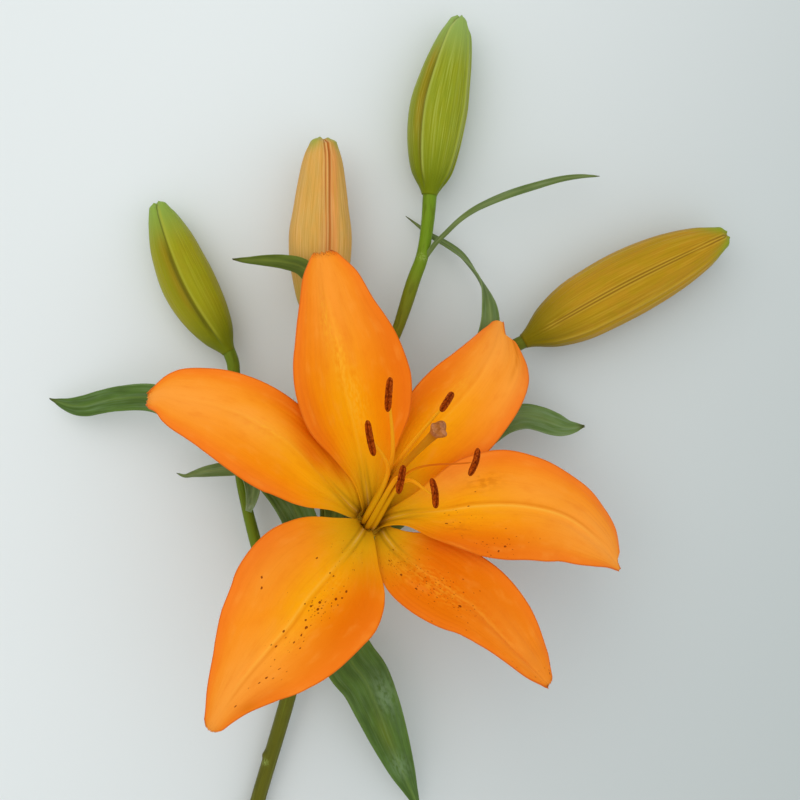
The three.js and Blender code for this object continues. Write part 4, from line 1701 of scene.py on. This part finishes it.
@dataclass
class Stem:
    """The main stem with every stalk and the bloom's receptacle, joined into one flowing body."""

    main: Stalk
    stalks: Sequence[Stalk]  # the bloom's is the last

    VOXEL = 0.42
    FLOW = 0.5  # how far each smoothing moves a point
    SMOOTHINGS = 6
    MARKS = ((7.0, 49.6, 12.4), (8.8, 49.0, 12.0), (-46.9, -126.2, 6.9))  # pale flecks where leaves stood
    SCAR = (-47.7, -123.8, 5.8)  # the middle of a leaf's scar, a low bump
    SCAR_OUT = (-0.9, 0.25, 0.35)  # the direction it stands out in
    SCAR_HEIGHT = 0.6
    SCAR_SIZE = 1.3
    SCAR_SHADE = (0.6, 1.4, 0.8)  # from its middle to where it is dark
    GIRTH = 2.6  # a typical radius, for the scale of the grain
    APART = 300.0  # how far apart the stalks are in the grain
    RIND = 2.4  # the radius of the cut, from its middle to its bark
    PITH = (1.7, 1.3)  # between these radii the cut turns to pith
    CUT_DEPTH = (0.7, 0.1)  # between these distances from the cut end a point becomes part of it

    def build(self) -> bpy.types.Object:
        """Joins the stalks, smooths the joins and works out the surface numbers.

        Returns:
            The stem's object.
        """
        skins = [part.skin() for part in (self.main, *self.stalks)]
        starts = np.cumsum([0, *(len(skin.points) for skin in skins)]).tolist()
        points = np.vstack([skin.points for skin in skins])
        faces = [tuple(i + first for i in face) for skin, first in zip(skins, starts) for face in skin.faces]
        fused = self._fused(Skin(points, faces, {}, points).made("stem_parts"))
        points = np.array([v.co for v in fused.vertices], float) / MM - LAYOUT_ORIGIN
        bump = self.SCAR_HEIGHT * self._near(points, self.SCAR, self.SCAR_SIZE)
        points = points + bump[:, None] * unit(np.array(self.SCAR_OUT))
        points[:, 2] = np.maximum(points[:, 2], 0.0)
        faces = [tuple(face.vertices) for face in fused.polygons]
        bpy.data.meshes.remove(fused)
        numbers, grain = self._paint(points)
        return Skin(points, faces, numbers, grain).made("stem_surface")

    def _near(self, points: Array, place: Sequence[float], size: float) -> Array:
        """A soft spot round a place: 1 in its middle, dying away over its size."""
        return swell(np.linalg.norm(points - np.array(place), axis=1), size)

    def _fused(self, rough: bpy.types.Object) -> bpy.types.Mesh:
        """Makes one closed body of stalks that run into each other.

        Args:
            rough: the stalks' object, which is used up.

        Returns:
            The body's mesh.
        """
        join = rough.modifiers.new("join", "REMESH")
        join.mode = "VOXEL"
        join.voxel_size = self.VOXEL * MM
        flow = rough.modifiers.new("flow", "SMOOTH")
        flow.factor = self.FLOW
        flow.iterations = self.SMOOTHINGS
        graph = bpy.context.evaluated_depsgraph_get()
        fused = bpy.data.meshes.new_from_object(rough.evaluated_get(graph))
        old = rough.data
        bpy.data.objects.remove(rough)
        bpy.data.meshes.remove(old)
        return fused

    def _paint(self, points: Array) -> tuple[dict[str, Array], Array]:
        """The surface numbers and the grain at each point.

        Args:
            points: the fused stem's points, in millimetres of the layout.

        Returns:
            The numbers and the grain.
        """
        parts = [self.main, *self.stalks]
        routes = [part.route() for part in parts]
        line = np.vstack([route.line for route in routes])
        heading = unit(np.vstack([route.slopes for route in routes]))
        share = np.concatenate([route.shares for route in routes])
        reach = np.concatenate([route.shares * route.length for route in routes])
        youth = np.concatenate([along(part.youth, route.shares) for part, route in zip(parts, routes)])
        gold = np.concatenate([along(part.gold, route.shares) for part, route in zip(parts, routes)])
        owner = np.repeat(np.arange(len(parts)), [len(route.line) for route in routes])
        tree = KDTree(len(line))
        for i, place in enumerate(line):
            tree.insert(place, i)
        tree.balance()
        near = np.array([tree.find(Vector(place))[1] for place in points])
        offset = points - line[near]
        level = unit(np.cross(UP, heading[near]))
        angle = np.arctan2((offset * np.cross(heading[near], level)).sum(1), (offset * level).sum(1))
        lengthwise = reach[near] + self.APART * owner[near]
        grain = np.stack([np.cos(angle) * self.GIRTH, np.sin(angle) * self.GIRTH, lengthwise], -1)
        start, first = routes[0].line[0], routes[0].heading(np.zeros(1))[0]
        depth = (points - start) @ first
        from_middle = np.linalg.norm(points - start - depth[:, None] * first, axis=1)
        cut = smoothstep(*self.CUT_DEPTH, depth)
        numbers = {
            "young": youth[near],
            "gold": gold[near],
            "cut": cut * (from_middle < self.RIND),
            "pith": cut * smoothstep(*self.PITH, from_middle),
            "throat": (owner[near] == len(parts) - 1) * smoothstep(0.86, 0.97, share[near]),
            "scar": self._near(points, np.array(self.SCAR) + self.SCAR_SHADE, 1.0),
            "node": np.max([self._near(points, mark, 1.1) for mark in self.MARKS], axis=0),
        }
        return numbers, grain


# ---- The studio ----


@dataclass(frozen=True)
class FloorFinish(Finish):
    """Matt and nearly white, with painted shade that darkens it a little to the lower right."""

    light: Colour = srgb(228, 232, 231)
    dark: Colour = srgb(186, 192, 190)

    DEPTH = 0.01
    GLOSS = 0.1
    ROUGHNESS = 0.9
    SLANT = 0.4  # how fast it darkens downwards, as a share of how fast it does to the right

    def surface(self, g: Graph) -> Look:
        """Paints the floor.

        Args:
            g: the material's graph.

        Returns:
            The colour, roughness and relief.
        """
        place = g.node("ShaderNodeTexCoord", {}).outputs["Object"]
        split = g.node("ShaderNodeSeparateXYZ", {0: place})
        slant = g.total((split.outputs[0], 1.0), (split.outputs[1], -self.SLANT))
        # painted shade, darker towards the lower right
        colour = g.layered(self.light, [(g.rise(slant, -0.15, 0.25), self.dark)])
        return colour, self.ROUGHNESS, g.noise(place)


@dataclass(frozen=True)
class Panel:
    """A square panel of light that looks at the lily. Its place and side are in metres."""

    name: str
    place: Point
    side: float
    power: float  # watts
    colour: Colour

    def hang(self) -> None:
        """Hangs the panel in the scene."""
        data = bpy.data.lights.new(self.name, "AREA")
        data.shape = "SQUARE"
        data.size = self.side
        data.energy = self.power
        data.color = self.colour
        made = placed(self.name, data)
        made.location = self.place
        made.rotation_mode = "QUATERNION"
        made.rotation_quaternion = (-Vector(self.place)).to_track_quat("-Z", "Y")


@dataclass(frozen=True)
class Studio:
    """A pale floor, soft light from the upper left, and a camera that looks straight down."""

    HEIGHT = 470.0  # of the camera over the surface
    FOCAL = 59.8
    NEAREST = 0.02  # metres from the camera to the nearest thing it shows
    HALF_FLOOR = 2.0  # metres
    PANELS = (
        Panel("key", (-0.55, 0.6, 1.25), 1.7, 7.6, srgb(255, 250, 242)),
        Panel("fill", (0.8, -0.3, 1.1), 1.6, 3.5, srgb(240, 246, 255)),
    )
    GLOW = srgb(242, 247, 250)
    GLOW_STRENGTH = 0.8

    def camera(self) -> None:
        """Puts the camera over the layout's origin."""
        data = bpy.data.cameras.new("camera")
        data.lens = self.FOCAL
        data.clip_start = self.NEAREST
        made = placed("camera", data)
        made.location = (LAYOUT_ORIGIN + UP * self.HEIGHT) * MM
        bpy.context.scene.camera = made

    def floor(self) -> None:
        """Lays the pale floor that the lily rests on."""
        half = self.HALF_FLOOR
        corners = [(-half, -half, 0), (half, -half, 0), (half, half, 0), (-half, half, 0)]
        mesh = bpy.data.meshes.new("floor")
        mesh.from_pydata(corners, [], [(0, 1, 2, 3)])
        made = placed("floor", mesh)
        mesh.materials.append(FloorFinish("floor").material())

    def lights(self) -> None:
        """Hangs the lights and sets the glow all round."""
        for panel in self.PANELS:
            panel.hang()
        world = bpy.data.worlds.new("surroundings")
        world.use_nodes = True
        backdrop = world.node_tree.nodes["Background"]
        backdrop.inputs["Color"].default_value = (*self.GLOW, 1.0)
        backdrop.inputs["Strength"].default_value = self.GLOW_STRENGTH
        bpy.context.scene.world = world
        bpy.context.scene.view_settings.view_transform = "Standard"


# ---- The lily's own pieces ----


class Lily:
    """Every piece of the lily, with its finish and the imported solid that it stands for."""

    SLOTS = {Husk.PEACH: "peach_bud", Husk.GOLDEN: "golden_bud"}  # slot names for the peach and golden finishes, not given to any piece here

    def __init__(self) -> None:
        """Starts with no finish made."""
        self.dressed: dict[Finish, bpy.types.Material] = {}

    def _dress(self, made: bpy.types.Object, finish: Finish, node: str) -> None:
        """Gives a piece its finish and its place in the frame.

        Args:
            made: the piece.
            finish: how it looks. Its material is made for the first piece that has it.
            node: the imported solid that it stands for.
        """
        if finish not in self.dressed:
            self.dressed[finish] = finish.material()
        made.data.materials.append(self.dressed[finish])
        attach(made, "root")
        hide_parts(node)
        log.info("%s: %d faces, for %s", made.name, len(made.data.polygons), node)

    def _place(self, part: Blade | Tube, finish: Finish) -> None:
        """Builds one blade or tube and dresses it."""
        self._dress(part.skin().made(f"{part.name}_surface"), finish, part.name)

    def petals(self) -> None:
        """Builds the three inner petals and the three outer ones."""
        for petal in PETALS:
            self._place(petal, PetalFinish("petal"))

    def leaves(self) -> None:
        """Builds the leaves and the two bracts."""
        for leaf in LEAVES:
            self._place(leaf, leaf.finish.value)

    def buds(self) -> None:
        """Builds the closed buds."""
        for bud in BUDS:
            self._place(bud, bud.finish.value)

    def stamens(self) -> None:
        """Builds each filament and its anther."""
        for stamen in STAMENS:
            self._place(stamen.filament(), stamen.thread.finish)
            self._place(stamen.anther(), AntherFinish("anther"))

    def pistil(self) -> None:
        """Builds the pistil."""
        self._place(Pistil("pistil"), PistilFinish("pistil"))

    def stem(self) -> None:
        """Builds the stem with its stalks."""
        self._dress(Stem(MAIN_STEM, STALKS).build(), StemFinish("stem"), "stem")


PETALS = [
    Petal(
        "petal_inner_top",
        [(3.4, 0, 0.5), (4, 0, 6), (7.5, 0.5, 13), (14.8, 0.8, 19), (28.3, 1.5, 26.5),
         (40.5, 2.2, 31), (53.5, 1.5, 33), (65.5, 1.2, 32), (76.5, 0.2, 30), (87.3, -0.8, 27)],
        [48, 42, 42, 34, 20, 12, 14, 18],
        (0.6, 1.6, 0.1),
        104,
        [2.6, 3.4, 7, 12.8, 18.9, 21.3, 20.3, 17.4, 14.3, 11, 5.4],
        [2.6, 2.8, 4.6, 9.8, 15.6, 17, 16, 13.2, 9.8, 7.2, 3],
        0.5,
        pallor=0.6,
        rib=0.15,
        ruffle=1.0,
        deeps_and_shades=[
            Patch(0.6, -0.9, 0.26, 0.38, 0.9), Patch(0.42, 0.9, 0.2, 0.35, 0.6),
            Patch(0.68, -0.15, 0.12, 0.1, 0.4), Patch(0.72, 0.5, 0.2, 0.3, 0.4),
        ],
        flecks=[
            Patch(0.74, 0.18, 0.1, 0.14, 0.6), Patch(0.6, 0.03, 0.1, 0.12, 0.75),
            Patch(0.47, -0.1, 0.1, 0.14, 0.7),
        ],
    ),
    Petal(
        "petal_inner_right",
        [(3.4, 0, 0.5), (4, 0, 6), (6.5, 0.8, 13), (11, 2, 18), (20.5, 3.5, 25), (29.5, 6, 29),
         (40.5, 8, 31), (51.5, 8.5, 31), (60.5, 7.5, 29), (68.5, 4.5, 26.5), (75.5, 1, 23),
         (81.9, -3.7, 18.6)],
        [48, 40, 32, 20, 10, 0, -8, -6],
        (0.6, 1.5, 0.6),
        -9,
        [2.6, 2.8, 4.9, 10.2, 16, 17.8, 17, 15.6, 12.7, 7.6, 1.2],
        [2.6, 3, 5.6, 11.2, 15.6, 17.6, 16.4, 14.2, 12.2, 9.4, 1.8],
        0.7,
        rib=0.55,
        notches=(2.0, 0.967),
        deeps_and_shades=[Patch(0.45, -0.85, 0.25, 0.4, 0.85)],
        pales=[Patch(0.36, 0.75, 0.12, 0.4, 0.6), Patch(0.62, 0.3, 0.16, 0.5, 0.6)],
        smudges=[Patch(0.45, 0.45, 0.05, 0.16, 0.55), Patch(0.36, -0.45, 0.04, 0.2, 0.4)],
        freckles=[
            Patch(0.38, 0.05, 0.04, 0.15, 0.4), Patch(0.34, -0.45, 0.06, 0.3, 0.12),
            Patch(0.5, -0.78, 0.06, 0.15, 0.15), Patch(0.63, -0.68, 0.03, 0.1, 0.25),
        ],
        specks=[Patch(0.47, -0.72, 0.1, 0.2, 0.4), Patch(0.36, -0.3, 0.07, 0.35, 0.3)],
    ),
    Petal(
        "petal_inner_left",
        [(3.4, 0, 0.5), (4, 0, 5.5), (7.5, 0.5, 11), (14, 1, 16), (24.5, 1, 23),
         (36, 1, 28), (46.5, 2, 30), (56, 2, 29.5), (64.5, 2, 27), (73, 2.5, 23), (83.5, 4.5, 16)],
        [48, 40, 30, 18, 8, 2, 4, 10],
        (0.5, 1.4, 0.3),
        230,
        [2.6, 6, 13.2, 19.1, 22.6, 23, 21, 17.2, 11.4, 6.6, 2.8],
        [2.6, 4.6, 10.4, 18.6, 22.7, 22.3, 19.7, 16.2, 11.2, 6.7, 3.4],
        0.5,
        glow=1.0,
        rib=0.4,
        ruffle=0.4,
        bulge=1.2,
        deeps_and_shades=[
            Patch(0.45, 0.7, 0.3, 0.4, 0.8), Patch(0.82, 0.75, 0.14, 0.4, 0.85),
            Patch(0.97, 0.2, 0.04, 0.9, 0.5),
        ],
        shade_creases=[Patch(0.86, 0.8, 0.03, 0.2, 0.5)],
        specks=[
            Patch(0.47, 0.22, 0.07, 0.18, 0.45), Patch(0.21, 0.0, 0.06, 0.35, 0.3),
            Patch(0.62, 0.25, 0.1, 0.15, 0.2),
        ],
        flecks=[
            Patch(0.21, 0.0, 0.06, 0.35, 0.6), Patch(0.36, 0.1, 0.08, 0.25, 0.3),
            Patch(0.6, 0.2, 0.08, 0.15, 0.25),
        ],
        pales=[Patch(0.5, -0.65, 0.25, 0.4, 0.4)],
        freckles=[
            Patch(0.35, 0.1, 0.08, 0.3, 0.3), Patch(0.47, 0.2, 0.06, 0.18, 0.9),
            Patch(0.6, 0.2, 0.07, 0.16, 0.5), Patch(0.72, 0.48, 0.08, 0.14, 0.5),
            Patch(0.5, -0.6, 0.06, 0.15, 0.12),
        ],
    ),
    Petal(
        "petal_outer_top",
        [(4.8, 0, 0.5), (5.6, 0, 6), (10, 1.5, 13), (18.5, 2, 19), (30, 1.2, 25),
         (40.5, -0.5, 28), (52.5, -1.5, 29), (63, -1, 27), (71.5, 0.5, 23), (79.4, 3.5, 17.4)],
        [38, 30, 22, 16, 8, 0, -10, -16],
        (0.6, 1.5, 0.4),
        55,
        [2.8, 3.4, 4.4, 6.8, 9.4, 11.7, 13.7, 15.2, 16.4, 17.2, 17.5, 17.4, 17, 16.6, 16.1, 15.4, 14.3, 12,
         8, 4.2, 2.6],
        [2.8, 3.4, 5, 8.4, 12.2, 14, 13.7, 11.9, 9.6, 6.9, 2.8],
        0.5,
        rib=0.15,
        notches=(0.927, 2.0),
        deeps_and_shades=[Patch(0.58, 0.8, 0.2, 0.45, 0.8)],
        pales=[Patch(0.75, -0.65, 0.18, 0.5, 0.8)],
        flecks=[Patch(0.6, 0.25, 0.1, 0.12, 0.35)],
        shade_creases=[
            Patch(0.91, -0.72, 0.025, 0.06, 0.8), Patch(0.87, -0.65, 0.03, 0.05, 0.7),
            Patch(0.83, -0.6, 0.03, 0.05, 0.6), Patch(0.78, -0.56, 0.04, 0.05, 0.4),
        ],
    ),
    Petal(
        "petal_outer_bottom",
        [(4.8, 0, 0.5), (5.6, 0, 5), (8.5, -2, 11), (13.5, -3.4, 15.5), (22, -3.5, 21),
         (32, -3, 25), (42, -1.5, 26), (52.5, -1.5, 25), (63.5, -1.5, 22), (70, -1, 18.5), (78, -0.5, 14)],
        [38, 30, 24, 18, 12, 8, 8, 10],
        (0.7, 1.7, 0.2),
        -43,
        [2.8, 4, 8.4, 12.8, 13.8, 12.3, 9.6, 6.8, 4.9, 3.6, 1.2],
        [2.8, 3.7, 7.9, 12.2, 14.2, 14.4, 13.9, 12.9, 10.6, 7.3, 2.8],
        0.6,
        glow=0.4,
        pallor=0.4,
        rib=0.14,
        ruffle=0.5,
        deeps_and_shades=[Patch(0.45, 0.0, 0.6, 1.6, 0.9), Patch(0.3, 0.7, 0.2, 0.4, 1.0)],
        freckles=[
            Patch(0.26, -0.35, 0.07, 0.5, 0.3), Patch(0.38, -0.35, 0.07, 0.35, 0.35),
            Patch(0.48, -0.1, 0.07, 0.2, 0.3), Patch(0.56, -0.2, 0.04, 0.25, 0.2),
            Patch(0.82, -0.7, 0.04, 0.2, 0.3), Patch(0.95, 0.1, 0.03, 0.7, 0.5),
        ],
        specks=[
            Patch(0.26, -0.3, 0.09, 0.5, 0.55), Patch(0.42, -0.2, 0.12, 0.4, 0.7),
            Patch(0.56, -0.1, 0.08, 0.2, 0.45),
        ],
        flecks=[
            Patch(0.24, -0.25, 0.1, 0.4, 0.45), Patch(0.4, -0.1, 0.14, 0.25, 0.45),
            Patch(0.62, 0.0, 0.14, 0.16, 0.15),
        ],
    ),
    Petal(
        "petal_outer_left",
        [(4.8, 0, 0.5), (5.6, 0, 6), (8.5, 0.6, 12), (13.5, 0.2, 17), (23.5, -1.5, 23.5),
         (31.5, -3.5, 26.5), (39.5, -4.5, 28.5), (49.5, -4.5, 29.5), (59.5, -3.5, 29), (69, -1.5, 26.5),
         (77, 0.5, 23), (81.8, 3.5, 19.5)],
        [38, 26, 16, 11, 12, 12, 12, 14],
        (0.5, 1.3, 0.7),
        152,
        [2.8, 3.4, 7.2, 9.8, 10.8, 11.8, 12.4, 12, 10.8, 8.4, 1.6],
        [2.8, 3.2, 6, 12, 16.8, 18.6, 18.2, 16.4, 13.6, 9.8, 4.6],
        0.5,
        glow=0.9,
        rib=0.1,
        ruffle=0.6,
        deeps_and_shades=[
            Patch(0.42, -0.6, 0.15, 0.45, 1.0), Patch(0.5, -0.9, 0.16, 0.4, 1.0),
            Patch(0.28, -0.6, 0.08, 0.4, 0.9), Patch(0.39, -0.3, 0.1, 0.28, 0.95),
        ],
        shade_creases=[Patch(0.36, -0.45, 0.09, 0.3, 0.6)],
        pales=[Patch(0.64, 0.0, 0.15, 0.4, 0.8)],
        flecks=[Patch(0.55, 0.02, 0.1, 0.15, 0.35)],
    ),
]

LEAVES = [
    Leaf(
        "leaf_lower_right",
        [(-30.5, -75.5, 9), (-25.5, -77.5, 14), (-20.5, -82, 17), (-16.5, -89, 18), (-12, -95, 18),
         (-8, -104, 17), (-4, -115, 14.5), (0, -126, 11.5), (3.5, -135, 8), (7, -144, 4.4)],
        [40, 24, 16, 12, 12, 14, 20],
        (0.6, 1.8, 0.2),
        [2.2, 6.2, 8.8, 9.3, 8.6, 7.9, 7, 5.8, 4.3, 2.3, 0.6],
        haze_and_sheen=0.3,
        wisps=[Patch(0.45, 0.5, 0.08, 0.4, 0.6), Patch(0.76, 0.0, 0.06, 0.6, 0.5)],
        olives=[Patch(0.6, -0.1, 0.1, 0.3, 0.7)],
    ),
    Leaf(
        "leaf_left",
        [(-29.2, -70, 9), (-30.6, -59, 13), (-32.3, -48.5, 16), (-34.3, -40, 18), (-38, -33, 19),
         (-44, -25.5, 20), (-54, -16, 20.5), (-68, -7, 19.5), (-83.5, 0.5, 16), (-96.5, 0.5, 12.5),
         (-103.5, -0.7, 10.5), (-109.5, -2, 9.2), (-115, -1.8, 8), (-122.2, 0.5, 6.8)],
        [40, 24, 14, 10, 10, 12, 12],
        (0.8, 2.2, 0.5),
        [2.2, 4.6, 5.8, 6.1, 5.8, 5.2, 5.2, 5.2, 5, 4.6, 4.2, 3.5, 0.6],
    ),
    Leaf(
        "leaf_upper_left",
        [(-24, -50.5, 14), (-22.5, -39, 17.5), (-22, -23.5, 20.5), (-22.5, -6.5, 23.5), (-22.5, 10, 26),
         (-24.5, 28, 28), (-27.5, 38.5, 28.5), (-32.5, 44.2, 28), (-38.5, 46, 27), (-45, 46.7, 25),
         (-52, 47, 23), (-56.5, 47.5, 21.5)],
        [50, 30, 16, 12, 12, 14, 20],
        (0.5, 1.5, 0.4),
        [2.2, 3.5, 4, 4.2, 4.2, 4.2, 4.2, 3.8, 2.9, 1.9, 0.5],
        haze_and_sheen=0.2,
        finish=Green.OLIVE,
    ),
    Leaf(
        "leaf_upper_right",
        [(-21, -46, 14), (-8.5, -30.5, 17), (1.5, -19, 18.5), (12, -6, 19.5), (21.5, 7, 20), (28, 17, 19.5),
         (30.5, 25.5, 18), (30.3, 32.5, 16), (28.3, 39.5, 14), (25.2, 45, 12), (21, 50.5, 9), (16, 54.5, 6.5),
         (11, 57.5, 4.8), (6.5, 61, 4), (2, 64.5, 3.8)],
        [40, 24, 14, 10, 10, 12, 20],
        (0.4, 1.5, 0.1),
        [2.2, 4.2, 4.3, 4.3, 4.3, 4.3, 4.1, 3.7, 3.1, 2.3, 1.9, 1.1, 0.2],
        [0, 0, 0, 0, 0, 0, 0, 4, 24, 80, 44, 20, 0],
        finish=Green.DULL,
    ),
    Leaf(
        "leaf_right",
        [(-24, -56.5, 12), (-11, -47, 16), (0, -38.5, 18.6), (10, -29.5, 20), (20.5, -20.5, 20.5),
         (30, -11, 20.5), (36, -7, 20), (42.5, -5.5, 19), (47.5, -6.4, 17.5), (52.5, -8.1, 16),
         (57.5, -9.4, 14), (63.5, -9, 12.5)],
        [40, 24, 14, 12, 12, 14, 20],
        (0.9, 1.8, 0.3),
        [2.2, 4, 4.4, 4.3, 4.3, 4.4, 4.4, 4.5, 4.3, 3.9, 0.9],
        haze_and_sheen=0.9,
        finish=Green.GREY,
    ),
    Leaf(
        "bract_left",
        [(-52.2, -38.2, 11.4), (-50.9, -34.4, 14.3), (-50.2, -30, 16.8), (-51.2, -25.6, 18.4),
         (-54.5, -23.2, 18.6), (-58.5, -23.4, 17.6), (-65, -24.2, 16), (-70.9, -25.4, 14), (-74, -26.1, 13),
         (-77, -25.2, 12)],
        [50, 40, 30, 20, 14, 12, 12],
        (0.0, 0.0, 0.0),
        [1.2, 2.1, 2.8, 2.9, 2.6, 2.3, 1.8, 0.9, 0.3],
        finish=Green.DULL,
        wisps=[Patch(0.03, 0.0, 0.07, 2.0, 0.8)],
    ),
    Leaf(
        "bract_top",
        [(9, 49.6, 10.8), (12.2, 53.8, 13.2), (15.5, 57, 14.8), (20.5, 61.6, 16.5), (25, 64.7, 17),
         (30.5, 67.4, 17.5), (37.5, 70.2, 17.5), (46, 73, 16.5), (55, 75.7, 14.5), (62, 77, 12.5),
         (69, 77.4, 10.5)],
        [40, 30, 24, 20, 20, 20, 20],
        (0.0, 0.0, 0.0),
        [0.9, 0.85, 0.9, 1.15, 1.35, 1.35, 1.15, 0.85, 0.3],
        finish=Green.DULL,
    ),
]

BUDS = [
    Bud(
        "bud_top", [(10.2, 70.9, 10), (13.3, 99, 9.8), (20.9, 133, 10.4)], 10.1, -3,
        [0.27, 0.68, 0.88, 0.98, 1, 0.9, 0.76, 0.56, 0.27], Husk.GREEN,
        lap=1.0, groove=0.6, edge=148, keel=0.1, green=0.66,
    ),
    Bud(
        "bud_middle", [(-27.8, 24.6, 14), (-27.4, 57, 14.4), (-26.3, 90, 14.6)], 10.8, 49,
        [0.24, 0.66, 0.86, 0.98, 0.99, 0.88, 0.77, 0.63, 0.4], Husk.PEACH,
        gape=1.4, crack=0.85, keel=0.2, green=0.88,
    ),
    Bud(
        "bud_left", [(-59.3, 16.6, 9.3), (-73, 40, 9.1), (-84.4, 68.6, 9.6)], 9.4, 25,
        [0.25, 0.62, 0.85, 0.97, 1, 0.93, 0.81, 0.58, 0.3], Husk.OLIVE,
        lap=1.0, groove=0.85, keel=0.1, green=0.66,
    ),
    Bud(
        "bud_right", [(42.6, 20.2, 11), (77, 39.4, 11.3), (113.2, 57.1, 11.8)], 11.7, 29,
        [0.22, 0.65, 0.9, 0.98, 1, 0.95, 0.83, 0.61, 0.28], Husk.GOLDEN,
        gape=1.1, edge=107, keel=0.3, green=0.82,
    ),
]

STAMENS = [
    Stamen(1, 88, (14.4, -0.1, 70), 56, 52),
    Stamen(2, 135, (-3.4, 1.9, 72), 86, 19),
    Stamen(3, 185, (-9, -11.4, 72), 101, 6),
    Stamen(4, 245, (0.4, -23.2, 75), 79, 42),
    Stamen(5, 295, (10.4, -27.4, 74), 97, 40),
    Stamen(6, 0, (22.8, -18.5, 70), 69, 40, Thread.RUSSET),
]

MAIN_STEM = Stalk(
    "main",
    [(-60, -175.5, 2.45), (-48.8, -136.7, 4.2), (-39.5, -105.4, 6.5),
     (-32.5, -78, 8.8), (-27.5, -60.5, 11), (-24.5, -50, 12.5)],
    [2.65, 2.65, 2.65, 2.7, 2.8, 3.0],
    (0.0, 0.0, 0.1, 0.3),
    reach=0.0,
)

STALKS = [
    Stalk(
        "to_left_bud",
        [(-38.8, -101, 7), (-44.5, -69.5, 9), (-50.2, -48.5, 9.7), (-53.1, -37, 9.8), (-55.2, -27, 9.7),
         (-56.8, -10.4, 9.4), (-57.6, 10, 9.2), (-58, 13.3, 9.3), (-59.1, 16.3, 9.3)],
        [1.5, 1.5, 1.6, 2.1, 1.9, 1.8, 2, 2.3],
        (0.3, 0.5, 0.6, 0.6),
    ),
    Stalk(
        "to_top_bud",
        [(-28, -62, 11), (-24.5, -50, 12.5), (-19, -24, 12), (-10, 3, 11.3), (-1, 24, 10.6), (4.9, 42, 10.2),
         (7.6, 49.4, 10.1), (9.4, 60, 10), (10.4, 71.9, 10)],
        [2.3, 2, 1.8, 1.6, 1.6, 1.9, 2.4, 2.2, 2.5],
        (0.2, 0.1, 0.1, 0.0, 0.0, 0.0, 0.0, 0.1, 0.25, 0.45, 0.9, 1.0, 1.0),
        (0.0, 0.2, 0.6, 0.9, 1.0, 1.0, 0.8, 0.2, 0.0),
    ),
    Stalk(
        "to_middle_bud",
        [(-28, -62, 11), (-26, -50, 12.5), (-26.6, -17, 12.8), (-27.7, 7, 13.6), (-27.8, 24.3, 14)],
        [2.2, 1.8, 1.6, 1.7, 2.3],
        (0.3, 0.4, 0.5),
    ),
    Stalk(
        "to_right_bud",
        [(-28, -62, 11), (-19, -48, 12.3), (0, -27.6, 12), (20.7, -1.7, 11.3), (31.2, 10.6, 11),
         (38.8, 18.1, 11), (42.3, 20, 11)],
        [2.2, 1.8, 1.7, 1.7, 2.1, 2.4],
        (0.3, 0.4, 0.35, 0.2),
    ),
    Stalk(
        "to_bloom",
        [(-30, -69, 10), (-25, -59, 12), (-17.6, -49.5, 15), (-12.3, -43.7, 18.5), (-11.1, -41.9, 22.3),
         (-10.5, -41, 26)],
        [2.4, 2.4, 2.5, 2.8, 3.6, 5],
        (0.3, 0.9),
        reach=0.0,
    ),
]


def main() -> None:
    """Builds the studio and every piece of the lily, in order."""
    logging.basicConfig(level=logging.INFO, format="%(name)s %(message)s")
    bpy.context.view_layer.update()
    studio = Studio()
    studio.camera()
    studio.floor()
    studio.lights()
    lily = Lily()
    lily.petals()
    lily.leaves()
    lily.buds()
    lily.stamens()
    lily.pistil()
    lily.stem()
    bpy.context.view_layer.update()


if __name__ == "__main__":
    main()
